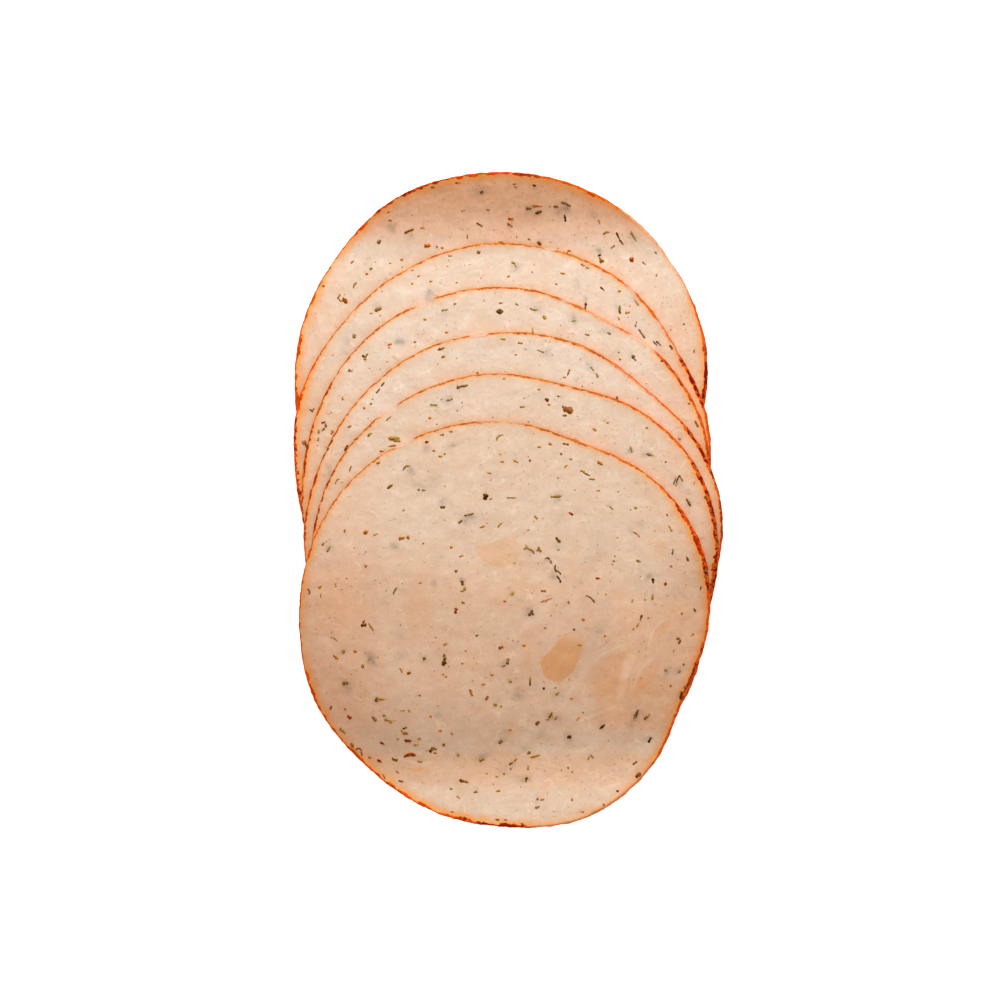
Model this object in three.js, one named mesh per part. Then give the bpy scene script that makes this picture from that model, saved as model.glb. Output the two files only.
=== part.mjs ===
// Six thin round slices of cured turkey breast, fanned out in the order they were cut.
// The lowest slice lies flat at the back, and each later one lies on the last and nearer the front.
// Millimetres, +Z up, +Y towards the back of the fan, origin under the middle of its box.
import * as THREE from "three";
import { toCreasedNormals } from "three/addons/utils/BufferGeometryUtils.js";

// The cut.
const sliceThickness = 1.6;
const layerGap = 0.3; // air between two slices that lie on each other
const rimSlant = { x: 0.8, y: -0.3 }; // how far the underside's outline stands off the upper one

// How a slice hangs over the edges below it.
const flatPastEdge = 1; // it stays up this far past the lower slice's rim
const drapeReach = 22; // and is down again this far on
const reachPerLayer = 2; // edges deeper in the stack show through more softly

// Both ends of the fan curl up from a soft crease across it, then rise evenly to the rim.
// lean turns the crease, so that it lies further back on one side.
const backCurl = { crease: 67.2, lean: 0, rise: 0.3 };
const frontCurl = { crease: -67.6, lean: 0.035, rise: 0.36 };
const creaseSoftness = 6; // the bend reaches this far to both sides of its crease

// The loaf's section: from its middle to its skin, at even headings from +X towards +Y.
const loafRadii = [
  51.5, 53.3, 52.4, 50, 51.6, 52.6, 53.5, 53.2,
  52.5, 52.4, 50.9, 51.2, 51.7, 53.4, 52.1, 49,
];

// Each slice from the lowest up: its middle, how far it was turned as it was laid down,
// its size against the section, and how far handling pulled it out of round and along which line.
const slices = [
  { x: -1.7, y: 30.4, turn: -82, size: 1.022, pull: 1, pullAlong: -35 },
  { x: -2.4, y: 12.9, turn: -38, size: 1.008, pull: 1.7, pullAlong: 34 },
  { x: -0.8, y: 2.1, turn: -6, size: 1, pull: 0.9, pullAlong: 68 },
  { x: 0.8, y: -9.4, turn: -20, size: 1.003, pull: 0.9, pullAlong: 39 },
  { x: 2.6, y: -19, turn: 9, size: 1.002, pull: 0.6, pullAlong: -52 },
  { x: -0.7, y: -31.3, turn: 0, size: 1, pull: 0, pullAlong: 0 },
];

// Each slice's mesh is rings of triangles, with six more steps on each ring than on the one inside it.
const ringCount = 10;
const ringSides = 6;
const skinCreaseDegrees = 40; // edges sharper than this are drawn sharp

const meatLook = { color: 0xe9c8a8, roughness: 0.48, metalness: 0 };
const skinLook = { color: 0xb4481a, roughness: 0.55, metalness: 0 };

const { degToRad, euclideanModulo, smoothstep } = THREE.MathUtils;

// The loaf's radius at a heading, on a smooth closed curve through the section's radii.
function loafRadius(heading) {
  const count = loafRadii.length;
  const step = (euclideanModulo(heading, 2 * Math.PI) / (2 * Math.PI)) * count;
  const at = Math.floor(step);
  const t = step - at;
  const [before, start, end, after] = [-1, 0, 1, 2].map((k) => loafRadii[(at + k + count) % count]);
  const startSlope = (end - before) / 2;
  const endSlope = (after - start) / 2;
  const bend = 3 * (end - start) - 2 * startSlope - endSlope;
  const twist = 2 * (start - end) + startSlope + endSlope;
  return start + t * (startSlope + t * (bend + t * twist));
}

// From a slice's middle to its rim, at a heading on the table.
function rimRadius(slice, heading) {
  const turned = loafRadius(heading - degToRad(slice.turn)) * slice.size;
  return turned + slice.pull * Math.cos(2 * (heading - degToRad(slice.pullAlong)));
}

// How far a point lies past a slice's rim, less than nothing inside it.
function pastRim(slice, x, y) {
  const [dx, dy] = [x - slice.x, y - slice.y];
  return Math.hypot(dx, dy) - rimRadius(slice, Math.atan2(dy, dx));
}

// How much of its own height a slice under this point still gives, so many layers down.
function support(slice, layersDown, x, y) {
  const reach = drapeReach + reachPerLayer * (layersDown - 1);
  return 1 - smoothstep(pastRim(slice, x, y), flatPastEdge, flatPastEdge + reach);
}

// How far past a crease a point counts, eased in over the crease's own width.
function pastCrease(distance) {
  if (distance <= -creaseSoftness) return 0;
  if (distance >= creaseSoftness) return distance;
  return (distance + creaseSoftness) ** 2 / (4 * creaseSoftness);
}

function endCurl(x, y) {
  const back = y - backCurl.crease - backCurl.lean * x;
  const front = frontCurl.crease + frontCurl.lean * x - y;
  return backCurl.rise * pastCrease(back) + frontCurl.rise * pastCrease(front);
}

// The height of a slice's underside, which rests on every slice below it.
function undersideHeight(layer, x, y) {
  const pitch = sliceThickness + layerGap;
  let height = endCurl(x, y);
  for (let lower = 0; lower < layer; lower++) {
    height += pitch * support(slices[lower], layer - lower, x, y);
  }
  return height;
}

// One face's points ring by ring. side is 1 for the upper face and -1 for the underside.
function facePoints(layer, side) {
  const slice = slices[layer];
  const points = [];
  for (let ring = 0; ring <= ringCount; ring++) {
    const share = ring / ringCount;
    const steps = Math.max(1, ringSides * ring);
    for (let step = 0; step < steps; step++) {
      const heading = (2 * Math.PI * step) / steps;
      const radius = share * rimRadius(slice, heading);
      const x = slice.x + radius * Math.cos(heading) - (side * share * rimSlant.x) / 2;
      const y = slice.y + radius * Math.sin(heading) - (side * share * rimSlant.y) / 2;
      const top = side > 0 ? sliceThickness : 0;
      points.push(x, y, undersideHeight(layer, x, y) + top);
    }
  }
  return points;
}

// The index of a ring's point, counted on round the ring.
function ringPoint(ring, step) {
  if (ring === 0) return 0;
  return 1 + (ringSides * ring * (ring - 1)) / 2 + (step % (ringSides * ring));
}

// Triangles that join each ring to the one inside it, anticlockwise from above.
function faceTriangles() {
  const triangles = [];
  for (let ring = 1; ring <= ringCount; ring++) {
    for (let side = 0; side < ringSides; side++) {
      for (let step = 0; step < ring; step++) {
        const outer = ringPoint(ring, side * ring + step);
        const outerNext = ringPoint(ring, side * ring + step + 1);
        const inner = ringPoint(ring - 1, side * (ring - 1) + step);
        triangles.push([inner, outer, outerNext]);
        if (step < ring - 1) {
          const innerNext = ringPoint(ring - 1, side * (ring - 1) + step + 1);
          triangles.push([inner, outerNext, innerNext]);
        }
      }
    }
  }
  return triangles;
}

// One slice as a closed shell: upper face, underside and the slanted skin between them.
function sliceGeometry(layer) {
  const upper = facePoints(layer, 1);
  const under = facePoints(layer, -1);
  const underStart = upper.length / 3;
  const face = faceTriangles();
  const upperFace = face.flat();
  const underFace = face.flatMap(([a, b, c]) => [a + underStart, c + underStart, b + underStart]);
  const skin = [];
  for (let step = 0; step < ringSides * ringCount; step++) {
    const a = ringPoint(ringCount, step);
    const b = ringPoint(ringCount, step + 1);
    skin.push(a + underStart, b + underStart, b, a + underStart, b, a);
  }
  const geometry = new THREE.BufferGeometry();
  geometry.setAttribute("position", new THREE.Float32BufferAttribute([...upper, ...under], 3));
  geometry.setIndex([...upperFace, ...underFace, ...skin]);
  const meatCount = upperFace.length + underFace.length;
  geometry.addGroup(0, meatCount, 0);
  geometry.addGroup(meatCount, skin.length, 1);
  return toCreasedNormals(geometry, degToRad(skinCreaseDegrees));
}

function sliceMaterials() {
  return [new THREE.MeshStandardMaterial(meatLook), new THREE.MeshStandardMaterial(skinLook)];
}

function fanOfSlices() {
  const fan = new THREE.Group();
  slices.forEach((slice, layer) => {
    const mesh = new THREE.Mesh(sliceGeometry(layer), sliceMaterials());
    mesh.name = `slice_${layer + 1}`;
    fan.add(mesh);
  });
  return fan;
}

const turkeyFan = fanOfSlices();

export default turkeyFan;
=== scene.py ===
import bpy
import math
import numpy as np
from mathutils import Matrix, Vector, noise


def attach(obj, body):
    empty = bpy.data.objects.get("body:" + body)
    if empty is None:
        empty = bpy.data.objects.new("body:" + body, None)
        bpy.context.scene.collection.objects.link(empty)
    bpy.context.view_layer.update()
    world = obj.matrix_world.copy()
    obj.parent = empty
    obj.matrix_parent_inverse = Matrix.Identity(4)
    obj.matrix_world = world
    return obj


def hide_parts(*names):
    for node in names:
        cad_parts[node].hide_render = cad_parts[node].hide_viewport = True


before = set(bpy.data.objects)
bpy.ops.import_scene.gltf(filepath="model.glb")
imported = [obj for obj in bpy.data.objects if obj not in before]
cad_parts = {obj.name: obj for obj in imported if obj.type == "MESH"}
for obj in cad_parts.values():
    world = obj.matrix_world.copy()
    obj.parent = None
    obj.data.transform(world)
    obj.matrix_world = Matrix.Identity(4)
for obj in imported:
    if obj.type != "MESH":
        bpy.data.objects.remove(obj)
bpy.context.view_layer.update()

mm = 0.001

# The loaf's section and the six slices of it, lowest first, in mm and degrees.
loaf = {
    "radii": [51.5, 53.3, 52.4, 50, 51.6, 52.6, 53.5, 53.2, 52.5, 52.4, 50.9, 51.2, 51.7, 53.4, 52.1, 49],
    "seamAt": 116.5,  # heading in the section where the casing's seam left its mark
    "seamStart": 0.5, "seamRun": 7.0,  # the dent sets in within this much of it and fades out over this much
    "bareMiddle": 2.2, "bareHalf": 2.8,  # the stretch without skin, along the rim from the seam
    "slant": (0.7, -0.05),  # how far the underside's outline lies off the upper one
}
laid = [
    {"node": "slice_1", "x": -1.7, "y": 30.4, "turn": -82, "size": 1.022, "pull": 1.0, "pullAlong": -35},
    {"node": "slice_2", "x": -2.4, "y": 12.9, "turn": -38, "size": 1.008, "pull": 1.7, "pullAlong": 34},
    {"node": "slice_3", "x": -0.8, "y": 2.1, "turn": -6, "size": 1.0, "pull": 0.9, "pullAlong": 68},
    {"node": "slice_4", "x": 0.8, "y": -9.4, "turn": -20, "size": 1.003, "pull": 0.9, "pullAlong": 39},
    {"node": "slice_5", "x": 2.6, "y": -19.0, "turn": 9, "size": 1.002, "pull": 0.6, "pullAlong": -52},
    {"node": "slice_6", "x": -0.7, "y": -31.3, "turn": 0, "size": 1.0, "pull": 0.0, "pullAlong": 0},
]
drape = {
    "pitch": 1.9,  # each slice lifts the next by this much
    "flatPast": 1.0, "reach": 22.0, "morePerLayer": 2.0,  # how a slice comes down past an edge below it
    "backCrease": 67.2, "backRise": 0.3,  # the fan's two ends curl up, each from a soft crease across it
    "frontCrease": -67.6, "frontLean": 0.035, "frontRise": 0.36, "soft": 6.0,
}
slab = {
    "thickness": 1.75, "radius": 52.5, "rimSteps": 320, "rimRound": 0.3,
    "rings": [0.9, 1.9, 3.0],  # rows of faces that follow the rim, this far in from it
    "apart": 6.0,  # the slices' patterns lie this far apart in the loaf
    "ragged": 0.22, "raggedDepth": 1.2,  # how far the skin wanders, and how deep that reaches in
    "raggedMix": [(2.2, 0.6, 11), (0.9, 0.4, 23)],
    "relief": 0.07, "reliefMix": [(3.5, 0.7, 5), (3.5 / 3, 0.3, 9)],  # the cut face's own slight unevenness
    "reliefFrom": 13.0, "reliefApart": (40.0, 7.0),  # a different part of it on each slice and each face
    "wallIn": (0.05, 0.35), "wallUp": (0.72, 0.95),  # where the wall ends, in from the rim and up to the face
    "wallSeen": (0.3, 0.9), "wallHidden": (0.2, 0.6),  # how squarely it faces the right, or the back left
    "shadeAngle": 50,
}


def deselectAll():
    if bpy.context.mode != "OBJECT":
        bpy.ops.object.mode_set(mode="OBJECT")
    bpy.ops.object.select_all(action="DESELECT")


def smooth(value, low, high):  # from 0 to 1 between the two
    t = np.clip((value - low) / (high - low), 0, 1)
    return t * t * (3 - 2 * t)


def sectionRadius(heading):  # the loaf's radius on a smooth closed curve through its radii
    radii = np.array(loaf["radii"], float)
    steps = np.mod(heading, 2 * math.pi) / (2 * math.pi) * len(radii)
    at = np.floor(steps).astype(int)
    t = steps - at
    before, start, end, after = (radii[(at + k) % len(radii)] for k in (-1, 0, 1, 2))
    slopeIn, slopeOut = (end - before) / 2, (after - start) / 2
    bend = 3 * (end - start) - 2 * slopeIn - slopeOut
    twist = 2 * (start - end) + slopeIn + slopeOut
    return start + t * (slopeIn + t * (bend + t * twist))


def rimRadius(lay, heading):  # from a slice's middle to its rim
    radius = sectionRadius(heading - math.radians(lay["turn"])) * lay["size"]
    return radius + lay["pull"] * np.cos(2 * (heading - math.radians(lay["pullAlong"])))


def pastRim(lay, x, y):  # how far outside a slice's rim each place is, less than nothing inside
    dx, dy = x - lay["x"], y - lay["y"]
    return np.hypot(dx, dy) - rimRadius(lay, np.arctan2(dy, dx))


def turned(dx, dy, turn):  # along and across a heading, in radians
    return dx * math.cos(turn) + dy * math.sin(turn), dy * math.cos(turn) - dx * math.sin(turn)


def pastCrease(distance):  # eased in over the crease's own width
    soft = drape["soft"]
    inBend = (np.clip(distance, -soft, soft) + soft) ** 2 / (4 * soft)
    return np.where(distance > soft, distance, inBend)


def underside(layer, x, y):  # height of a slice's lower face, in mm, from all that lies below it
    height = drape["backRise"] * pastCrease(y - drape["backCrease"])
    height = height + drape["frontRise"] * pastCrease(drape["frontCrease"] + drape["frontLean"] * x - y)
    for lower in range(layer):
        reach = drape["reach"] + drape["morePerLayer"] * (layer - lower - 1)
        past = pastRim(laid[lower], x, y)
        height = height + drape["pitch"] * (1 - smooth(past, drape["flatPast"], drape["flatPast"] + reach))
    return height


def seamDistance(lay, heading):  # along the rim from the seam, in mm, more than nothing anticlockwise of it
    seam = math.radians(loaf["seamAt"] + lay["turn"])
    return (np.mod(heading - seam + math.pi, 2 * math.pi) - math.pi) * slab["radius"]


def noiseField(points, size, seed):  # smooth noise from about -1 to 1, with lumps of this size in mm
    return np.array([noise.noise(Vector(p) / size + Vector((seed, seed * 0.7, 0))) for p in points]) * 1.6


def noiseMix(points, mix):  # each in the mix is a size, a share and a seed
    return sum(share * noiseField(points, size, seed) for size, share, seed in mix)


def relief(layer, x, y, face):  # face is 1 on the upper side and 0 below
    perLayer, perFace = slab["reliefApart"]
    depth = np.full(len(x), perLayer * layer + slab["reliefFrom"]) + perFace * face
    return slab["relief"] * noiseMix(np.stack([x, y, depth], 1), slab["reliefMix"])


# A round slab, filled with a grid so that its faces can follow the drape, its rim rounded over.
def modelSlab():
    deselectAll()
    bpy.ops.mesh.primitive_circle_add(
        vertices=slab["rimSteps"], radius=slab["radius"] * mm, fill_type="NOTHING", location=(0, 0, 0))
    piece = bpy.context.object
    bpy.ops.object.mode_set(mode="EDIT")
    bpy.ops.mesh.select_all(action="SELECT")
    reached = slab["radius"]
    for inward in slab["rings"]:
        smaller = (slab["radius"] - inward) / reached
        reached = slab["radius"] - inward
        bpy.ops.mesh.extrude_region_move()
        bpy.ops.transform.resize(value=(smaller, smaller, 1))
    bpy.ops.mesh.fill_grid(span=slab["rimSteps"] // 4)
    bpy.ops.mesh.select_all(action="SELECT")
    bpy.ops.mesh.subdivide(number_cuts=1)
    bpy.ops.mesh.select_all(action="SELECT")
    third = slab["thickness"] * mm / 3
    for cut in range(3):
        bpy.ops.mesh.extrude_region_move(TRANSFORM_OT_translate={"value": (0, 0, third)})
    bpy.ops.mesh.select_all(action="SELECT")
    bpy.ops.mesh.normals_make_consistent(inside=False)
    bpy.ops.mesh.select_all(action="DESELECT")
    bpy.ops.mesh.select_mode(type="EDGE")
    bpy.ops.object.mode_set(mode="OBJECT")
    mesh = piece.data
    nearRim, slack = (slab["radius"] - 0.1) * mm, 1e-6
    for edge in mesh.edges:
        ends = [mesh.vertices[v].co for v in edge.vertices]
        onRim = all(math.hypot(p.x, p.y) > nearRim for p in ends)
        level = abs(ends[0].z - ends[1].z) < slack
        outer = ends[0].z < slack or ends[0].z > slab["thickness"] * mm - slack
        edge.select = onRim and level and outer
    bpy.ops.object.mode_set(mode="EDIT")
    bpy.ops.mesh.bevel(offset=slab["rimRound"] * mm, segments=3, affect="EDGES")
    bpy.ops.object.mode_set(mode="OBJECT")
    return piece


def readPoints(mesh):
    flat = np.zeros(len(mesh.vertices) * 3)
    mesh.vertices.foreach_get("co", flat)
    return flat.reshape(-1, 3)


def writePoints(mesh, points):
    mesh.vertices.foreach_set("co", points.astype(np.float32).ravel())
    mesh.update()


def addNumbers(mesh, name, values):  # one number, or three, for each point of the mesh
    kind, field = ("FLOAT_VECTOR", "vector") if np.ndim(values) == 2 else ("FLOAT", "value")
    layer = mesh.attributes.new(name, kind, "POINT")
    layer.data.foreach_set(field, np.asarray(values, np.float32).ravel())


# The skin's look round each rim. Seam is how bare the seam's stretch is, and dent how deep its dent, in mm.
# The other rows go from one heading on the table to another, in degrees, and say how strongly.
# The dark rows are partly painted shade, on rims that face away from the light, most of them at the right,
# and partly darker, charred skin.
rims = {
    "slice_1": {"seam": 0.5, "dent": 0.3, "thin": [(24, 56, 0.6)],
                "glow": [(50, 142, 1.0), (148, 192, 0.75), (-10, 24, 0.6)],
                "thick": [(62, 134, 0.7), (150, 168, 0.5), (166, 196, 1.0), (-6, 10, 0.8)],
                "dark": [(-6, 9, 0.9), (104, 128, 0.7), (80, 86, 0.5), (176, 184, 0.3)]},
    "slice_2": {"seam": 0.0, "dent": 0.2,
                "thin": [(74, 77.5, 0.9), (49, 52, 0.8), (37, 39.5, 0.9), (27, 37, 0.5)],
                "glow": [(152, 196, 0.9), (-6, 28, 0.5)],
                "thick": [(12, 27, 0.6), (160, 178, 0.6), (176, 198, 1.0)],
                "dark": [(12, 27, 0.9), (170, 194, 0.8), (162, 167, 0.4)]},
    "slice_3": {"seam": 0.9, "dent": 1.3, "thin": [(71, 74, 0.7), (55, 66, 0.5), (43, 52, 0.8)],
                "glow": [(156, 188, 0.6), (0, 40, 0.4)], "thick": [(26, 39, 0.5), (148, 190, 0.3)],
                "dark": [(-2, 12, 0.9), (26, 42, 0.5), (148, 154, 0.4), (160, 190, 0.6)]},
    "slice_4": {"seam": 0.8, "dent": 0.5, "thin": [(97, 101, 0.5), (42, 60, 0.4)],
                "glow": [(160, 190, 0.6), (0, 34, 0.4)],
                "thick": [(18, 32, 0.6), (150, 190, 0.3)],
                "dark": [(0, 10, 0.7), (16, 34, 0.9), (150, 190, 0.5)]},
    "slice_5": {"seam": 1.0, "dent": 1.4, "thin": [(126, 131, 0.6)],
                "glow": [(164, 190, 0.6), (-4, 34, 0.5), (-16, 6, 0.4)],
                "thick": [(7, 33, 0.8), (-12, 6, 1.8), (150, 190, 0.2)],
                "dark": [(8, 36, 0.9), (-12, 10, 1.0), (150, 190, 0.6)]},
    "slice_6": {"seam": 1.0, "dent": 1.2, "thin": [(-82, -44, 0.75), (84, 98, 0.5)],
                "glow": [(-86, 36, 0.9), (-170, -84, 0.9), (150, 180, 0.6)],
                "thick": [(11, 34, 0.9), (-104, -83, 1.0), (-168, -104, 0.6), (152, 172, 0.3)],
                "dark": [(9, 20, 1.0), (20, 38, 0.7), (-23, -4, 0.9), (-49, -46, 0.6), (-66, -64, 0.4),
                         (-104, -83, 0.9), (-128, -122, 0.4)]},
}
rimSoft = {"ends": 1.5, "glowEnds": 6}  # how soft a row's ends are, in degrees


def arcs(heading, spans, soft=rimSoft["ends"]):  # how strongly each heading lies in any of the spans
    total = np.zeros(len(heading))
    degrees = np.degrees(heading)
    for start, end, strength in spans:
        middle, half = (start + end) / 2, (end - start) / 2
        off = np.abs(np.mod(degrees - middle + 180, 360) - 180)
        total = np.maximum(total, strength * (1 - smooth(off, half - soft, half + soft)))
    return total


def rimThinness(lay, heading):  # 1 where the skin is missing: at the casing's seam and in bare stretches
    off = (seamDistance(lay, heading) - loaf["bareMiddle"]) / loaf["bareHalf"]
    seam = rims[lay["node"]]["seam"] * np.exp(-off ** 4)
    return np.maximum(seam, arcs(heading, rims[lay["node"]]["thin"]))


# Muscle pieces that show in the front slice. The clearest ones have outlines, in mm, and fade towards a
# heading. The vague ones are ovals: x, y, length, width, heading, how tan each is (less than nothing is
# grey), and how much it narrows towards its heading.
muscle = {
    "outlined": [
        {"tan": 1.0, "fadesTo": 60, "corners": [
            (7.9, -40.1), (8.1, -42.4), (9.0, -44.9), (11.1, -45.9), (13.0, -46.3), (15.1, -44.6),
            (16.7, -43.0), (17.7, -40.9), (18.7, -38.2), (19.8, -35.6), (19.1, -33.7), (15.7, -32.9),
            (13.0, -34.1), (11.3, -36.9), (9.4, -38.9)]},
        {"tan": 0.42, "fadesTo": 240, "corners": [
            (19.6, -44.8), (20.7, -42.6), (22.8, -40.6), (25.4, -39.2), (28.1, -38.6), (30.3, -38.1),
            (31.1, -36.9), (30.2, -39.2), (29.0, -41.0), (28.7, -43.5), (27.8, -46.5), (26.6, -48.6),
            (24.7, -49.9), (21.9, -50.6), (19.8, -50.3), (19.2, -47.5)]},
        {"tan": 0.56, "fadesTo": 240, "corners": [
            (30.6, -50.7), (31.9, -48.0), (32.9, -45.0), (34.6, -42.4), (36.7, -40.6), (38.4, -40.2),
            (39.0, -41.4), (38.1, -43.9), (36.4, -46.1), (34.4, -48.2), (32.6, -50.3)]},
        {"tan": 0.42, "fadesTo": 235, "corners": [
            (35.9, -36.1), (36.5, -34.1), (37.6, -32.4), (38.9, -31.0), (40.1, -30.3), (41.1, -30.5),
            (40.9, -31.8), (39.8, -33.3), (38.3, -34.8), (36.9, -35.8)]},
        {"tan": 0.5, "fadesTo": 30, "corners": [
            (-9.2, -11.5), (-8.2, -13.6), (-5.6, -16.0), (-2.2, -17.0), (1.6, -16.2), (3.6, -13.4),
            (3.2, -9.4), (0.8, -7.6), (-1.4, -9.4), (-4.8, -10.6)]},
    ],
    "ovals": [
        (24.8, -10.6, 9.6, 6.4, -12, -0.3, 0.0), (20.6, -16.3, 7.0, 4.6, 5, -0.35, 0.0),
        (38.2, -11.9, 7.0, 4.4, 70, 0.3, 0.2), (4.5, -40.4, 7.2, 3.2, 84, 0.3, 0.2),
        (-7.6, -41.6, 9.8, 2.2, 4, 0.28, 0.3), (-22.6, -68.6, 6.4, 1.9, 3, 0.75, 0.0),
        (-15.4, -49.5, 4.6, 3.4, 20, 0.22, 0.0), (-23.0, -27.5, 13.6, 6.6, 82, 0.2, 0.0),
        (-44.0, -25.5, 16.0, 6.0, 84, 0.22, 0.0), (9.2, -73.9, 4.0, 3.4, 0, 0.25, 0.0),
    ],
    "strands": [  # connective tissue: how wide, how pale (less than nothing is dark), and where it runs
        (0.32, 0.5, [
            (18.7, -46.0), (19.3, -44.1), (20.7, -41.8), (22.8, -39.7), (25.4, -38.2), (29.0, -36.5)]),
        (0.26, 0.28, [(21.3, -39.9), (22.7, -38.4), (24.2, -37.2), (26.4, -35.7), (28.7, -34.5)]),
        (1.3, 0.36, [(13.6, -51.8), (15.5, -49.2), (16.8, -47.1), (18.2, -44.6), (20.0, -41.4)]),
        (1.2, 0.4, [(28.2, -49.9), (29.0, -47.3), (29.5, -44.8), (30.6, -42.2), (31.5, -39.9)]),
        (0.3, -0.4, [(27.0, -39.8), (28.7, -38.9), (30.4, -37.9), (31.4, -36.6)]),
        (0.4, 0.26, [(31.7, -47.7), (32.6, -44.8), (34.2, -42.2), (36.4, -40.3)]),
        (0.34, 0.45, [
            (35.6, -36.5), (36.3, -34.1), (37.3, -32.2), (38.7, -30.7), (40.5, -29.7), (43.4, -28.3)]),
        (0.6, 0.5, [(18.0, -56.0), (23.5, -53.8), (26.6, -52.4)]),
        (0.5, 0.6, [(-25.6, -66.4), (-23.0, -66.9), (-20.0, -66.6)]),
        (1.2, 0.4, [(3.8, -32.4), (6.6, -29.0), (9.6, -26.6)]),
    ],
    "fibre": (3.6, 0.9), "fibresApart": 3.7,  # how long and thick they are, and how unlike in each piece
    "edge": (0.42, 0.9),  # how soft an outline is, and how much softer on the side that fades
    "fades": 0.6,  # how much of the tan is lost on that side
}


def fromSegment(x, y, start, end):  # distance to a straight piece of line, and on which side of it
    (ax, ay), (bx, by) = start, end
    along = ((x - ax) * (bx - ax) + (y - ay) * (by - ay)) / ((bx - ax) ** 2 + (by - ay) ** 2)
    along = np.clip(along, 0, 1)
    side = np.sign((bx - ax) * (y - ay) - (by - ay) * (x - ax))
    return np.hypot(x - ax - along * (bx - ax), y - ay - along * (by - ay)), side


def pastOutline(x, y, corners):  # less than nothing inside
    nearest, inside = np.full(len(x), 99.0), np.zeros(len(x), bool)
    for start, end in zip(corners, corners[1:] + corners[:1]):
        nearest = np.minimum(nearest, fromSegment(x, y, start, end)[0])
        (ax, ay), (bx, by) = start, end
        if ay != by:
            inside ^= ((ay > y) != (by > y)) & (x < ax + (y - ay) * (bx - ax) / (by - ay))
    return np.where(inside, -nearest, nearest)


# Distance to the edge of the nearest muscle piece (less than nothing inside), how tan it is, and each
# place in that piece's own fibres.
def pieceField(x, y):
    nearest, tan, fibres = np.full(len(x), 9.0), np.zeros(len(x)), np.zeros((len(x), 3))
    found = []
    for piece in muscle["outlined"]:
        corners = np.array(piece["corners"])
        turn = math.radians(piece["fadesTo"])
        towards = (math.cos(turn), math.sin(turn))
        ahead = corners @ towards
        along, across = turned(x, y, turn)
        u = (along - corners.mean(0) @ towards) * 2 / (ahead.max() - ahead.min())
        crisp = muscle["edge"][0] + muscle["edge"][1] * smooth(u, 0.1, 0.9)
        found.append((pastOutline(x, y, piece["corners"]) / crisp, along, across, u, piece["tan"]))
    for atX, atY, long, wide, heading, strength, taper in muscle["ovals"]:
        along, across = turned(x - atX, y - atY, math.radians(heading))
        u = along / (long / 2)
        lopsided = across / (wide / 2) * (1 + taper * u)
        past = (np.hypot(u, lopsided) - 1) * min(long, wide) / 2
        found.append((past, along, across, u, strength))
    for number, (past, along, across, u, strength) in enumerate(found):
        closer = past < nearest
        nearest = np.where(closer, past, nearest)
        tan = np.where(closer, strength * (1 - muscle["fades"] * smooth(u, 0.1, 1.1)), tan)
        long, thick = muscle["fibre"]
        depth = np.full(len(x), muscle["fibresApart"] * number)
        fibres[closer] = np.stack([along / long, across / thick, depth], 1)[closer]
    return nearest, tan, fibres


def smoothLine(places, steps=6):  # a curve through the places
    ends = [np.array(p, float) for p in (places[0], *places, places[-1])]
    line = []
    for before, start, end, after in zip(ends, ends[1:], ends[2:], ends[3:]):
        for t in np.arange(steps) / steps:
            slopes = (end - before) / 2 * t * (1 - t) ** 2 - (after - start) / 2 * t * t * (1 - t)
            line.append(start + (end - start) * t * t * (3 - 2 * t) + slopes)
    return line + [ends[-1]]


def strandField(x, y):  # the nearest strand: distance signed by side, distance and width; and how pale it is
    nearest, side = np.full(len(x), 9.0), np.ones(len(x))
    width, tone = np.ones(len(x)), np.zeros(len(x))
    for wide, pale, places in muscle["strands"]:
        line = smoothLine(places)
        for start, end in zip(line[:-1], line[1:]):
            away, onSide = fromSegment(x, y, start, end)
            closer = away - wide < nearest - width
            nearest, side = np.where(closer, away, nearest), np.where(closer, onSide, side)
            width, tone = np.where(closer, wide, width), np.where(closer, pale, tone)
    return np.stack([nearest * side, nearest, width], 1), tone
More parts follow.
